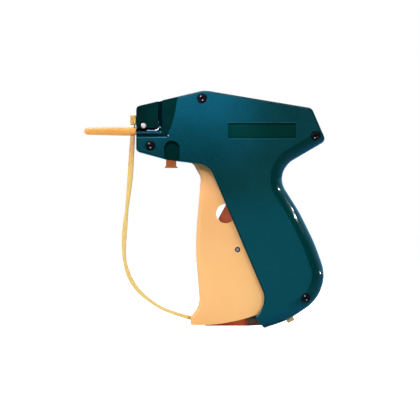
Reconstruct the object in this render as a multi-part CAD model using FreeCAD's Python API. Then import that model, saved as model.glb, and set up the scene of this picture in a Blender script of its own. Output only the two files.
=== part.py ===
import FreeCAD, Part

import math
import os

# Garment tag attacher, in millimetres.  -X is the needle's way, +Z is up, and the
# joint face of the two shells is the plane Y = 0.  Z = 0 is the lowest point of the
# handle's toe.

# ---- housing -------------------------------------------------------------------
half_width = 12.5
wall = 2.2
edge_round = 1.2
back_round = 8.0
nose_x = -38.0
toe_point = (33.4, -0.23)
apex_point = (0.0, 132.5)
tail_top_point = (60.0, 122.5)
tail_top_round = 3.6
tail_tip_point = (67.86, 104.33)
tail_tip_round = 2.9
neck_high_point = (47.9, 92.6)
neck_high_round = 10.0
neck_low_point = (40.8, 84.1)
neck_low_round = 11.4
back_points = [(53.3, 64.2, 90.0), (61.5, 47.4, 80.0)]
heel_point = (67.6, 30.6)
heel_round = 20.4
foot_point = (64.0, 15.7)
foot_round = 22.8
sole_point = (46.4, 3.95)
sole_round = 40.0
toe_front_point = (28.3, 5.6)
grip_front_low = (34.9, 14.8)
grip_low_round = 11.5
grip_front_high = (2.6, 90.8)
grip_high_round = 10.0
barrel_front_point = (-20.5, 93.6)
nose_bottom_z = 98.4
nose_top_z = 123.5
round_far = 30.0
skin = 0.3
run_gap = 0.05

# ---- nose recess, name recess and arch -----------------------------------------
recess_depth = 4.0
recess_floor_z = 106.2
recess_points = [(-20.0, 108.8), (-18.4, 112.3), (-16.8, 117.2), (-15.8, 122.0), (-14.6, 130.0)]
nose_core_back_x = -12.0
name_x = (13.4, 51.0)
name_z = (105.4, 114.2)
name_depth = 0.8
name_edge_round = 0.25
ledge_round = 0.6
rib_z = (107.9, 109.3)
rib_proud = 1.2
rib_round = 0.35
arch_center = (-18.0, 100.0)
arch_radius = 4.4
arch_depth = 2.6

# ---- screws --------------------------------------------------------------------
screw_points = [(-30.1, 101.5), (-1.3, 127.9), (62.1, 107.0), (56.8, 16.6)]
screw_head_radius = 2.6
screw_head_height = 1.7
screw_shank_radius = 1.45
screw_length = 17.0
screw_post_radius = 3.5
screw_recess_radius = 2.8
cross_length = 3.0
cross_width = 0.7
cross_depth = 0.9

# ---- trigger -------------------------------------------------------------------
pivot = (-3.5, 95.4)
trigger_reach = 94.0
trigger_half_width = 7.0
trigger_wall = 1.8
trigger_front_wall = 2.6
trigger_hub_radius = 5.0
trigger_front_points = [(-8.5, 95.4, 0.0), (-1.9, 84.0, 7.0), (-5.1, 46.0, 150.0), (-2.4, 12.4, 12.0)]
trigger_lip_point = (-7.7, 5.9)
trigger_lip_round = 2.6
trigger_heel_point = (36.8, 19.0)
trigger_crown_point = (8.0, 90.0)
trigger_throw = 18.0
trigger_gap = 0.4
trigger_edge_round = 2.5
hole_point = (12.0, 63.7)
hole_radius = 5.4
pin_radius = 2.0
link_point = (18.6, 43.6)
link_radius = 1.5
link_end_radius = 0.95
link_end_length = 0.8
socket_depth = 1.4
boss_wall = 2.2

# ---- guide tongue and pad -------------------------------------------------------
tongue_half_width = 2.5
tongue_front_x = 0.4
tongue_back_x = 24.6
tongue_drop = 0.5
tongue_bottom_z = pivot[1] - trigger_reach - tongue_drop
tongue_root_depth = 9.0
tongue_saddle_x = (3.0, 21.0)
tongue_saddle_z = (tongue_bottom_z + 8.6, tongue_bottom_z + 12.1)
pad_x = 47.8
pad_width = 4.4
pad_proud = 2.0
pad_height = 5.2
pad_half_width = 3.2
cheek_y = (3.0, 7.0)
cheek_points = [(23.9, 1.0), (35.0, 1.6), (35.0, 4.2), (31.5, 4.8), (31.5, 9.0), (23.9, 9.0)]
cheek_rise = 1.6
cheek_front_x = 25.2

# ---- drive lever ----------------------------------------------------------------
lever_pivot = (21.0, 68.5)
lever_half_width = 2.5
lever_hub_radius = 5.0
lever_arm_width = 8.0
lever_turn = 44.4
lever_side_gap = 0.3
lobe_points = [(11.8, 68.1), (7.8, 60.8)]
slot_play = 0.06
spring_hole_reach = 20.0
spring_hook_radius = 4.5
spring_hole_radius = 1.4
spring_wire = 0.8
spring_coil = 5.0
spring_turns = 9
spring_post = (46.5, 98.5)
spring_post_radius = 1.8

# ---- slide and rod --------------------------------------------------------------
needle_z = 109.8
slide_pin_x = 39.0
slide_travel = 36.0
slide_half_width = 6.0
slide_half_height = 5.0
slide_front = 11.4
slide_back = 5.0
slide_bridge = 3.0
slide_gap = 0.3
rod_radius = 1.0
rod_reach = 61.5
rail_x = (-9.0, 50.0)
rail_thickness = 2.0

# ---- nose parts -----------------------------------------------------------------
guide_x = (-21.5, -12.5)
guide_half = (2.5, 2.8)
clip_slot_x = (-25.9, -23.4)
clip_slot_bottom_z = 112.0
path_z = (109.4, 111.6)
clip_room_x = (-35.2, -23.4)
clip_room_half = 2.2
plate_thickness = 0.8
plate_gap = 0.3
hub_x = (-38.0, -36.2)
hub_size = (5.6, 4.4)
needle_tip_x = -60.0
needle_bevel = 4.0
needle_radius = 1.45
needle_bore = 1.08
needle_slot = 0.7
lock_point = (-33.9, 112.8)
lock_pin_radius = 1.5
lock_arm = 11.0
lock_width = 5.2
lock_thickness = 1.8
wheel_center = (3.9, 113.6)
wheel_x = (-30.5, -27.5)
wheel_tip_radius = 3.0
wheel_root_radius = 2.1
wheel_teeth = 14
shaft_radius = 1.0
shaft_x = (-32.0, -14.0)
pawl_x = (-27.2, -25.6)
pawl_hub_radius = 2.0
pawl_reach = 6.0
pawl_width = 2.0
leaf_y = 6.1
leaf_z = (105.6, 111.2)
leaf_foot = 2.8
leaf_thickness = 0.6
leaf_x = (-30.0, -28.0)
blade_x = (-31.0, -25.6)
blade_y = (-6.5, -2.3)
blade_z = 111.4
blade_thickness = 0.5
rivet_depth = 5.2

# ---- release button -------------------------------------------------------------
button_x = (-21.4, -15.7)
button_bottom_z = 89.2
button_top_z = 101.0
button_half_width = 4.0
button_lip = 0.75
button_lip_height = 0.35
button_flare_height = 1.3
button_gap = 0.15
button_collar = 1.0
button_collar_height = 2.0
button_spring_top_z = 106.8
button_spring_radius = 2.0
button_spring_wire = 0.5

# ---- cap and strap --------------------------------------------------------------
cap_tip_x = -67.3
cap_back_x = -38.2
cap_back_radius = 2.5
cap_tip_radius = 1.95
cap_bore_radius = 1.6
cap_bore_past = 1.5
cap_slot_half = 1.2
strap_half_width = 3.0
strap_points = [(-40.1, 107.1, 2.6), (-40.9, 94.5, 3.0), (-41.5, 84.5, 3.0), (-42.4, 75.5, 2.6),
                (-43.4, 66.0, 1.9), (-44.5, 55.4, 2.7), (-45.0, 46.0, 2.3), (-44.7, 38.8, 1.8),
                (-43.2, 31.9, 2.3), (-40.2, 25.1, 2.4), (-34.8, 18.5, 2.1), (-25.2, 11.5, 1.7),
                (-16.5, 7.9, 1.95), (-8.1, 5.4, 2.3)]
strap_tongue_z = (4.5, 6.4)
strap_tongue_half = 1.5
strap_tongue_length = 3.4
eye_x = (-41.3, -38.9)
eye_wall = 0.45
tab_x = (-41.4, -38.4)
tab_z = (113.5, 118.8)
neck_half_length = 0.5


def at(point, y=0.0):
    """Vector of a point of the side view."""
    return FreeCAD.Vector(point[0], y, point[1])


def rounded_face(corners):
    """Flat face of a side outline given as (x, z, corner radius)."""
    count = len(corners)
    starts = []
    ends = []
    middles = []
    for index in range(count):
        corner = at(corners[index])
        before = (at(corners[index - 1]) - corner).normalize()
        after = (at(corners[(index + 1) % count]) - corner).normalize()
        radius = corners[index][2]
        half_angle = before.getAngle(after) / 2.0
        cut = radius / math.tan(half_angle)
        bisector = (before + after).normalize()
        middle = corner + bisector * (radius / math.sin(half_angle) - radius)
        starts.append(corner + before * cut)
        ends.append(corner + after * cut)
        middles.append(middle)
    edges = []
    for index in range(count):
        if corners[index][2] > 0.0:
            edges.append(Part.Arc(starts[index], middles[index], ends[index]).toShape())
        edges.append(Part.LineSegment(ends[index], starts[(index + 1) % count]).toShape())
    return Part.Face(Part.Wire(edges))


def face_of(points):
    """Flat face of a side outline with sharp corners."""
    return rounded_face([(x, z, 0.0) for x, z in points])


def slab(face, low_y, high_y):
    """Side-view face given a thickness from low_y to high_y."""
    moved = face.copy()
    moved.translate(FreeCAD.Vector(0, low_y, 0))
    return moved.extrude(FreeCAD.Vector(0, high_y - low_y, 0))


def box(x, y, z):
    """Block from three (low, high) pairs."""
    return Part.makeBox(x[1] - x[0], y[1] - y[0], z[1] - z[0], FreeCAD.Vector(x[0], y[0], z[0]))


def rod_y(point, radius, low_y, high_y):
    """Round bar across the object."""
    return Part.makeCylinder(radius, high_y - low_y, at(point, low_y), FreeCAD.Vector(0, 1, 0))


def rod_x(y, z, radius, low_x, high_x):
    """Round bar along the object."""
    return Part.makeCylinder(radius, high_x - low_x, FreeCAD.Vector(low_x, y, z), FreeCAD.Vector(1, 0, 0))


def turned(point, center, degrees):
    """Point of the side view turned about a centre, its lower end towards +X."""
    angle = math.radians(degrees)
    dx = point[0] - center[0]
    dz = point[1] - center[1]
    return (center[0] + dx * math.cos(angle) - dz * math.sin(angle),
            center[1] + dz * math.cos(angle) + dx * math.sin(angle))


def join(shapes):
    """One solid out of several that touch."""
    return shapes[0].multiFuse(shapes[1:]).removeSplitter()


def save(name, shape):
    """Write one sub-part."""
    shape.exportStep("parts/" + name + ".step")


def side_edges(solid, y):
    """Edges of a slab that lie in one of its flat sides."""
    return [edge for edge in solid.Edges if all(abs(v.Point.y - y) < 1e-6 for v in edge.Vertexes)
            and abs(edge.CenterOfMass.y - y) < 1e-6]


# ---- housing --------------------------------------------------------------------
def housing_corners():
    """Side outline of the closed housing."""
    corners = [(nose_x, nose_bottom_z, 2.5), (nose_x, nose_top_z, 2.4), apex_point + (12.0,),
               tail_top_point + (tail_top_round,), tail_tip_point + (tail_tip_round,),
               neck_high_point + (neck_high_round,), neck_low_point + (neck_low_round,)]
    corners += back_points
    corners += [heel_point + (heel_round,), foot_point + (foot_round,), sole_point + (sole_round,),
                toe_point + (1.5,), toe_front_point + (1.5,), grip_front_low + (grip_low_round,),
                grip_front_high + (grip_high_round,),
                barrel_front_point + (20.0,)]
    return corners


def back_corners():
    """Outline whose edge gives the round back of the grip and the tail's underside."""
    rise = (tail_tip_point[1] - neck_high_point[1]) / (tail_tip_point[0] - neck_high_point[0])
    far_tail = (tail_tip_point[0] + round_far, tail_tip_point[1] + rise * round_far)
    fall = (sole_point[1] - toe_point[1]) / (sole_point[0] - toe_point[0])
    far_toe = (nose_x - round_far, toe_point[1] + fall * (nose_x - round_far - toe_point[0]))
    corners = [far_tail + (9.0,), neck_high_point + (neck_high_round,), neck_low_point + (neck_low_round,)]
    corners += back_points
    corners += [heel_point + (heel_round,), foot_point + (foot_round,), sole_point + (sole_round,), far_toe + (9.0,),
                (far_toe[0], apex_point[1] + round_far, 9.0), (far_tail[0], apex_point[1] + round_far, 9.0)]
    return corners


def pillow(face, width, radius):
    """Slab on both sides of Y = 0 with all the edges of its flat sides rounded."""
    solid = slab(face, -width, width)
    return solid.makeFillet(radius, side_edges(solid, -width) + side_edges(solid, width))


def housing_skin():
    """Outer form of the closed housing."""
    return pillow(rounded_face(housing_corners()), half_width, edge_round).common(
        pillow(rounded_face(back_corners()), half_width, back_round))


def housing_room():
    """Hollow of the closed housing."""
    inner = rounded_face(housing_corners()).makeOffset2D(-wall)
    inner_back = rounded_face(back_corners()).makeOffset2D(-wall)
    inner_width = half_width - wall
    return slab(inner, -inner_width, inner_width).common(pillow(inner_back, inner_width, back_round - wall))


def disc(center, radius, low_y, high_y):
    """Round slab about a pivot."""
    return rod_y(center, radius, low_y, high_y)


def trigger_mouth():
    """Opening between the shells that the trigger swings through."""
    width = trigger_half_width + trigger_gap
    front_x = pivot[0] - trigger_hub_radius - trigger_gap
    outline = face_of([(front_x, 60.0), (front_x, pivot[1] + trigger_hub_radius + trigger_gap),
                       (grip_front_high[0] + 12.0, pivot[1] + trigger_hub_radius + trigger_gap),
                       (grip_front_low[0] + 12.0, grip_front_low[1] + 10.0),
                       (grip_front_low[0] + 12.0, -5.0), (-20.0, -5.0), (-20.0, 60.0)])
    return slab(outline, -width, width).common(disc(pivot, trigger_reach + trigger_gap, -width, width))


def tongue_slot():
    """Slot in the toe for the guide tongue."""
    width = tongue_half_width + trigger_gap
    reach = math.dist((tongue_back_x, tongue_bottom_z), pivot) + trigger_gap
    outline = face_of([(-20.0, -5.0), (-20.0, 40.0), (heel_point[0] - 12.0, 40.0), (heel_point[0] - 12.0, -5.0)])
    return slab(outline, -width, width).common(disc(pivot, reach, -width, width))


def recess_outline():
    """Side outline of the thin part of the nose."""
    return [(nose_x - 5.0, recess_floor_z), (recess_points[0][0], recess_floor_z)] + recess_points + [
        (recess_points[-1][0], apex_point[1] + 5.0), (nose_x - 5.0, apex_point[1] + 5.0)]


def nose_core():
    """Front end of the housing, which stays solid round its channels."""
    return box((nose_x - 5.0, nose_core_back_x), (-half_width, half_width), (80.0, apex_point[1] + 5.0))


def arch_face(radius, low_z):
    """Door-shaped face of the button's arch."""
    left = arch_center[0] - radius
    right = arch_center[0] + radius
    top = FreeCAD.Vector(arch_center[0], 0, arch_center[1] + radius)
    edges = [Part.LineSegment(at((left, low_z)), at((left, arch_center[1]))).toShape(),
             Part.Arc(at((left, arch_center[1])), top, at((right, arch_center[1]))).toShape(),
             Part.LineSegment(at((right, arch_center[1])), at((right, low_z))).toShape(),
             Part.LineSegment(at((right, low_z)), at((left, low_z))).toShape()]
    return Part.Face(Part.Wire(edges))


def pad_solid(gap):
    """Pad in the grip's floor, with a gap all round for the hole that holds it."""
    low_slope = math.atan2(sole_point[1] - toe_point[1], sole_point[0] - toe_point[0])
    high_slope = math.atan2(foot_point[1] - sole_point[1], foot_point[0] - sole_point[0])
    slope = (low_slope + high_slope) / 2.0
    rise = sole_round * (1.0 / math.cos((high_slope - low_slope) / 2.0) - 1.0)
    floor_z = sole_point[1] + rise + math.tan(slope) * (pad_x - sole_point[0])
    half = pad_width / 2.0 + gap
    corners = [(-half, -pad_proud - 3.0 * gap, 0.8), (half, -pad_proud - 3.0 * gap, 0.8),
               (half, pad_height - pad_proud, 0.4), (-half, pad_height - pad_proud, 0.4)]
    placed = [turned((x, z), (0.0, 0.0), math.degrees(slope)) + (r,) for x, z, r in corners]
    outline = rounded_face([(x + pad_x, z + floor_z, r) for x, z, r in placed])
    return slab(outline, -pad_half_width - gap, pad_half_width + gap)


def toe_cheek(side, gap):
    """Grey block in the front of one toe, beside the guide tongue; a gap gives the pocket that holds it."""
    outline = face_of(cheek_points)
    if gap > 0.0:
        outline = outline.makeOffset2D(gap)
    inner, outer = grown(cheek_y, gap)
    tall = trigger_half_width - trigger_wall - trigger_gap
    low_block = slab(outline, inner, outer).cut(disc(pivot, trigger_reach + trigger_gap - gap, 0.0, half_width))
    high_block = slab(outline, inner, tall + gap).cut(disc(pivot, trigger_reach - cheek_rise - gap, 0.0, half_width))
    front = box((cheek_points[0][0] - 1.0, cheek_front_x - gap), (0.0, half_width), (0.0, cheek_points[-1][1] + 1.0))
    block = join([low_block, high_block.cut(front)])
    return block if side > 0 else block.mirror(FreeCAD.Vector(0, 0, 0), FreeCAD.Vector(0, 1, 0))


def rails(side):
    """Two ribs in one shell that carry the slide."""
    inner = lever_half_width + 0.8
    outer = half_width - wall + skin
    low = needle_z - slide_half_height - slide_gap
    high = needle_z + slide_half_height + slide_gap
    ribs = [box(rail_x, (inner, outer), (low - rail_thickness, low)),
            box(rail_x, (inner, outer), (high, high + rail_thickness))]
    return [rib if side > 0 else rib.mirror(FreeCAD.Vector(0, 0, 0), FreeCAD.Vector(0, 1, 0)) for rib in ribs]


def side_rod(point, radius, low, high, side):
    """Round bar across one half of the object, from low to high off Y = 0."""
    return rod_y(point, radius, low, high) if side > 0 else rod_y(point, radius, -high, -low)


def pin_bosses(side):
    """Bosses in one shell for the two pivot pins and the spring's post."""
    outer = half_width - wall + skin
    inner = trigger_half_width + trigger_gap
    bosses = [side_rod(point, pin_radius + boss_wall, inner, outer, side) for point in (pivot, lever_pivot)]
    bosses.append(side_rod(spring_post, spring_post_radius + 0.8, spring_coil, outer, side))
    return bosses


def pin_sockets(side):
    """Blind holes of the pivot pins."""
    deep = half_width - wall + socket_depth
    holes = [side_rod(point, pin_radius + run_gap, 0.0, deep, side) for point in (pivot, lever_pivot)]
    holes.append(side_rod(spring_post, spring_post_radius + run_gap, 0.0, half_width - wall, side))
    return holes


def grown(pair, gap):
    """Range made wider by a gap at both ends."""
    return (pair[0] - gap, pair[1] + gap)


def fastener_way():
    """L-shaped way through the left side for the fastener's thread."""
    low_z, high_z = path_z
    bend = [(clip_slot_x[0], apex_point[1]), (clip_slot_x[1], apex_point[1]), (clip_slot_x[1], clip_slot_bottom_z),
            (clip_slot_x[0] - 0.5, low_z), (nose_x - 1.0, low_z), (nose_x - 1.0, high_z), (clip_slot_x[0], high_z)]
    return [slab(face_of(bend), -half_width, 0.0)]


def nose_cuts():
    """Thin part and channels of the nose."""
    face_y = half_width - recess_depth
    cuts = [slab(face_of(recess_outline()), face_y, half_width + 1.0),
            slab(face_of(recess_outline()), -half_width - 1.0, -face_y),
            box(clip_room_x, (-clip_room_half, clip_room_half), (path_z[0], apex_point[1])),
            box((nose_x - 1.0, guide_x[0]), (-needle_radius - 0.6, needle_radius + 0.6),
                (needle_z - 2.0, needle_z + 2.0)),
            side_rod(lock_point, lock_pin_radius + run_gap, face_y - rivet_depth, half_width, 1),
            side_rod(lock_point, lock_pin_radius + run_gap, face_y - rivet_depth, half_width, -1)]
    return cuts + fastener_way()


def fitted_rooms():
    """Rooms that hold the small pieces of the nose."""
    hub_y = hub_size[0] / 2.0 + run_gap
    hub_z = hub_size[1] / 2.0 + run_gap
    y, z = wheel_center
    swing = pawl_reach + pawl_width
    return [box((nose_x - 1.0, hub_x[1] + run_gap), (-hub_y, hub_y), (needle_z - hub_z, needle_z + hub_z)),
            box(grown(guide_x, run_gap), grown((-guide_half[0], guide_half[0]), run_gap),
                grown((needle_z - guide_half[1], needle_z + guide_half[1]), run_gap)),
            rod_x(0.0, needle_z, rod_radius + skin, guide_x[1], 0.0),
            rod_x(y, z, wheel_tip_radius + skin, *grown(wheel_x, skin)),
            rod_x(y, z, shaft_radius + run_gap, *shaft_x),
            box(grown(pawl_x, 0.2), (y - pawl_hub_radius - skin, half_width - recess_depth - 0.8),
                (z - swing, z + pawl_hub_radius + skin)),
            box(grown(leaf_x, run_gap), grown((leaf_y, leaf_y + leaf_thickness), run_gap),
                (leaf_z[0] - run_gap, z)),
            box(grown(leaf_x, run_gap), (leaf_y - 0.4, leaf_y + leaf_thickness + 0.4), (leaf_z[0] + leaf_foot, z)),
            box(grown(blade_x, run_gap), grown(blade_y, run_gap), grown((blade_z, blade_z + blade_thickness), run_gap))]


def button_rooms():
    """Arches on both sides and the shaft that the release button slides in."""
    half = button_half_width + button_gap
    collar = button_collar + button_gap
    collar_z = button_top_z - button_collar_height - button_gap
    return [slab(arch_face(arch_radius, 80.0), -half_width, -half_width + arch_depth),
            slab(arch_face(arch_radius, 80.0), half_width - arch_depth, half_width),
            box(grown(button_x, button_gap), (-half, half), (80.0, button_spring_top_z)),
            box(grown(button_x, collar), (-half, half), (collar_z, button_spring_top_z))]


def screw_post(point, side):
    """Post of one shell round a screw."""
    return side_rod(point, screw_post_radius, 0.0, half_width - 1.0, side)


def screw_hole(point, side):
    """Hole in one shell for a screw, with its recess on the head's side."""
    shank = rod_y(point, screw_shank_radius + run_gap, -half_width, screw_length - half_width + 1.0)
    seat = half_width - screw_head_height - 0.1
    return shank.fuse(rod_y(point, screw_recess_radius, -half_width - 1.0, -seat)) if side < 0 else shank


def shell(side, skin_solid, room):
    """One half of the housing: side is -1 for the left shell and +1 for the right."""
    cheek = box((nose_x - 5.0, clip_slot_x[0]), (-half_width - 1.0, 0.0), (path_z[1], apex_point[1]))
    half = box((-80.0, 120.0), (0.0, half_width + 1.0) if side > 0 else (-half_width - 1.0, 0.0), (-10.0, 150.0))
    outer = skin_solid.common(half.fuse(cheek) if side > 0 else half.cut(cheek))
    hollow = room.cut(nose_core())
    body = outer.cut([hollow, trigger_mouth(), tongue_slot(), pad_solid(run_gap), toe_cheek(side, run_gap)])
    posts = [screw_post(point, side) for point in screw_points] + rails(side) + pin_bosses(side)
    body = join([body] + [post.common(outer) for post in posts])
    cuts = pin_sockets(side) + nose_cuts() + fitted_rooms() + button_rooms()
    cuts += [screw_hole(point, side) for point in screw_points]
    if side < 0:
        cuts.append(box(name_x, (-half_width, -half_width + name_depth), name_z))
    body = body.cut(cuts).removeSplitter()
    return body if side > 0 else eased(join([body, nose_rib()]))


def nose_rib():
    """Ridge on the left recess's floor, under the fastener's way."""
    floor = recess_depth - half_width
    bar = box((nose_x + skin, clip_slot_x[1]), (floor - rib_proud, floor + skin), rib_z)
    return bar.makeFillet(rib_round, [edge for edge in bar.Edges if abs(edge.CenterOfMass.y - floor + rib_proud) < 1e-6])


def eased(body):
    """Left shell with the rims of its name recess and of its nose ledge rounded."""
    rims = [edge for edge in body.Edges if abs(edge.CenterOfMass.y + half_width) < 1e-6]
    name_rims = [edge for edge in rims if name_x[0] - skin < edge.CenterOfMass.x < name_x[1] + skin
                 and name_z[0] - skin < edge.CenterOfMass.z < name_z[1] + skin]
    ledges = [edge for edge in rims if abs(edge.CenterOfMass.z - recess_floor_z) < 1e-6]
    return body.makeFillet(name_edge_round, name_rims).makeFillet(ledge_round, ledges)


def shell_screws():
    """Cross-head screws, heads in the left shell."""
    screws = []
    for point in screw_points:
        top = -half_width + 0.1
        head = rod_y(point, screw_head_radius, top, top + screw_head_height)
        head = head.makeFillet(0.6, [edge for edge in head.Edges if abs(edge.CenterOfMass.y - top) < 1e-6
                                     and edge.Length > screw_head_radius * 5.0])
        shank = rod_y(point, screw_shank_radius, top + screw_head_height, top + screw_length)
        x, z = point
        cross = box((x - cross_length / 2, x + cross_length / 2), (top - 1.0, top + cross_depth),
                    (z - cross_width / 2, z + cross_width / 2))
        other = box((x - cross_width / 2, x + cross_width / 2), (top - 1.0, top + cross_depth),
                    (z - cross_length / 2, z + cross_length / 2))
        cut = cross.fuse(other)
        cut.rotate(at(point), FreeCAD.Vector(0, 1, 0), 35.0)
        screws.append(join([head, shank]).cut(cut))
    return Part.makeCompound(screws)


# ---- trigger ----------------------------------------------------------------------
def trigger_face(inset):
    """Side outline of the trigger, inset from its front and open at its back."""
    corners = [(x, z, r) for x, z, r in trigger_front_points]
    corners += [trigger_lip_point + (trigger_lip_round,), (trigger_lip_point[0], -8.0, 0.0), (trigger_heel_point[0], -8.0, 0.0),
                trigger_heel_point + (4.0,), trigger_crown_point + (6.0,), (pivot[0], pivot[1] + 1.0, 0.0)]
    face = rounded_face(corners)
    if inset == 0.0:
        return face
    moved = face.copy()
    moved.translate(FreeCAD.Vector(inset, 0, 0))
    return moved


def trigger_slot():
    """Way through the trigger's walls for the lever's pivot pin."""
    steps = 6
    radius = pin_radius + boss_wall + trigger_gap
    places = [turned(lever_pivot, pivot, -trigger_throw * index / steps) for index in range(steps + 1)]
    width = trigger_half_width + 1.0
    return [rod_y(place, pin_radius + 0.5, -width, width) for place in places] + [
        slab(face_of(strip_corners(places, pin_radius + 0.5)), -width, width),
        rod_y(places[0], radius, -width, width)]


def strip_corners(places, half):
    """Corners of a strip of constant width along a row of points."""
    left = []
    right = []
    for index, place in enumerate(places):
        before = places[max(index - 1, 0)]
        after = places[min(index + 1, len(places) - 1)]
        length = math.dist(before, after)
        nx = -(after[1] - before[1]) / length * half
        nz = (after[0] - before[0]) / length * half
        left.append((place[0] + nx, place[1] + nz))
        right.append((place[0] - nx, place[1] - nz))
    return left + right[::-1]


def trigger():
    """Channel with two walls and a front, open behind, hung from its hub."""
    width = trigger_half_width
    reach = disc(pivot, trigger_reach, -width, width)
    body = slab(trigger_face(0.0), -width, width).common(reach)
    front = [edge for edge in body.Edges if abs(abs(edge.CenterOfMass.y) - width) < 1e-6
             and edge.CenterOfMass.x < 2.0 and 1.0 < edge.CenterOfMass.z < 91.0]
    body = body.makeFillet(trigger_edge_round, front)
    inner = width - trigger_wall
    room = slab(trigger_face(trigger_front_wall), -inner, inner)
    hub = rod_y(pivot, trigger_hub_radius, -width, width)
    low, high = strap_tongue_z
    strap_hole = box((trigger_lip_point[0] - 1.0, trigger_lip_point[0] + trigger_front_wall + 3.0),
                     (-strap_tongue_half - skin, strap_tongue_half + skin), (low - skin, high + skin))
    body = join([body.cut(room), hub])
    cuts = [rod_y(pivot, pin_radius + run_gap, -width, width), rod_y(hole_point, hole_radius, -width, width),
            rod_y(link_point, link_radius + run_gap, -width, width), strap_hole]
    return body.cut(cuts + trigger_slot())


def trigger_guide():
    """Tongue fixed under the trigger, running between the two toes."""
    face = face_of([(tongue_front_x, tongue_bottom_z), (tongue_back_x, tongue_bottom_z),
                    (tongue_back_x, tongue_bottom_z + tongue_root_depth + 6.0),
                    (tongue_front_x, tongue_bottom_z + tongue_root_depth)])
    saddle_half = trigger_half_width - trigger_wall - run_gap
    saddle = box(tongue_saddle_x, (-saddle_half, saddle_half), tongue_saddle_z)
    return join([slab(face, -tongue_half_width, tongue_half_width), saddle])


# ---- drive lever ------------------------------------------------------------------
def lever_track(pin_at):
    """Path of a driven pin as the lever sees it over the whole stroke."""
    steps = 12
    places = []
    for index in range(steps + 1):
        share = index / steps
        places.append(turned(pin_at(share), lever_pivot, -lever_turn * share))
    return places


def link_at(share):
    """Place of the trigger's link pin at a share of the stroke."""
    return turned(link_point, pivot, trigger_throw * share)


def slide_pin_at(share):
    """Place of the slide's pin at a share of the stroke."""
    return (slide_pin_x - slide_travel * share, needle_z)


def track_solids(places, radius, half):
    """Room swept by a round pin along a path."""
    spots = [rod_y(place, radius, -half, half) for place in places]
    links = [slab(face_of(strip_corners(places[index:index + 2], radius)), -half, half)
             for index in range(len(places) - 1)]
    return spots + links


def drive_lever():
    """Rocker that turns the trigger's swing into the slide's travel."""
    half = lever_half_width
    lower = lever_track(link_at)
    upper = lever_track(slide_pin_at)
    top = max(upper, key=lambda place: math.dist(place, lever_pivot))
    reach_low = math.dist(lower[0], lever_pivot) + link_radius + 2.6
    reach_top = math.dist(top, lever_pivot) + 0.5
    low_way = math.atan2(lower[-1][0] + lower[0][0] - 2.0 * lever_pivot[0],
                         2.0 * lever_pivot[1] - lower[0][1] - lower[-1][1])
    top_way = math.atan2(upper[6][0] - lever_pivot[0], upper[6][1] - lever_pivot[1])
    low_end = (lever_pivot[0] + reach_low * math.sin(low_way), lever_pivot[1] - reach_low * math.cos(low_way))
    top_end = (lever_pivot[0] + reach_top * math.sin(top_way), lever_pivot[1] + reach_top * math.cos(top_way))
    arm = lever_arm_width / 2.0
    low_arm = slab(face_of(strip_corners([lever_pivot, low_end], arm - 0.2)), -half, half)
    top_arm = slab(face_of(strip_corners([lever_pivot, top_end], arm)), -half, half)
    ends = [rod_y(low_end, 0.1, -half, half)]
    hub = rod_y(lever_pivot, lever_hub_radius, -trigger_half_width + trigger_wall + lever_side_gap,
                trigger_half_width - trigger_wall - lever_side_gap)
    lobe = slab(rounded_face([lobe_points[0] + (0.0,), lobe_points[1] + (1.0,), (lower[0][0] - 4.0, lower[0][1] + 6.0, 3.0),
                              (lever_pivot[0] + 3.0, lever_pivot[1] - 10.0, 1.0),
                              (lever_pivot[0] + 3.0, lever_pivot[1] + 4.0, 1.0),
                              (lobe_points[0][0] + 2.5, lobe_points[0][1] + 7.0, 2.0)]), -half, half)
    body = join([low_arm, top_arm, hub, lobe] + ends)
    cuts = track_solids(lower, link_radius + slot_play, trigger_half_width)
    cuts += track_solids(upper, pin_radius + slot_play, trigger_half_width)
    way_out = [upper[0], lever_far(upper[0], 12.0)]
    cuts.append(slab(face_of(strip_corners(way_out, pin_radius + slot_play)), -half, half))
    cuts.append(rod_y(lever_pivot, pin_radius + run_gap, -trigger_half_width, trigger_half_width))
    cuts.append(rod_y(spring_eye(), spring_hole_radius, -half, half))
    return body.cut(cuts)


def lever_far(place, more):
    """Point further out from the lever's pivot along the same ray."""
    length = math.dist(place, lever_pivot)
    scale = (length + more) / length
    return (lever_pivot[0] + (place[0] - lever_pivot[0]) * scale, lever_pivot[1] + (place[1] - lever_pivot[1]) * scale)


def spring_eye():
    """Hole in the lever's upper arm for the return spring."""
    way = lever_track(slide_pin_at)[6]
    angle = math.atan2(way[0] - lever_pivot[0], way[1] - lever_pivot[1])
    return (lever_pivot[0] + spring_hole_reach * math.sin(angle), lever_pivot[1] + spring_hole_reach * math.cos(angle))


def return_spring():
    """Close-wound tension spring from the lever to the post at the back of the neck."""
    start = at(spring_eye())
    end = at(spring_post)
    way = (end - start).normalize()
    across = FreeCAD.Vector(0, 1, 0)
    ring = spring_coil / 2.0 - spring_wire / 2.0
    eye = spring_hook_radius
    hook = spring_post_radius + spring_wire / 2.0 + 0.05
    pitch = spring_wire * 1.02
    length = pitch * spring_turns
    room = (end - start).Length - 2.0 * eye - hook
    first = start + way * (2.0 * eye + (room - length) / 2.0)
    coils = []
    for index in range(spring_turns):
        coils.append(Part.makeTorus(ring, spring_wire / 2.0 * 1.04, first + way * (pitch * (index + 0.5)), way))
    last = first + way * length
    low = Part.makeTorus(eye, spring_wire / 2.0, start + way * eye, way.cross(across))
    high = Part.makeTorus(hook, spring_wire / 2.0, end, across)
    stem_low = Part.makeCylinder(spring_wire / 2.0, (first - start).Length - 2.0 * eye + spring_wire,
                                 start + way * (2.0 * eye), way)
    stem_high = Part.makeCylinder(spring_wire / 2.0, (end - last).Length - hook + spring_wire, last - way * spring_wire,
                                  way)
    bars = [Part.makeCylinder(spring_wire / 2.0, ring * 2.0, spot - way.cross(across) * ring, way.cross(across))
            for spot in (first + way * spring_wire * 0.5, last - way * spring_wire * 0.5)]
    return join(coils + [low, high, stem_low, stem_high] + bars)


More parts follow.
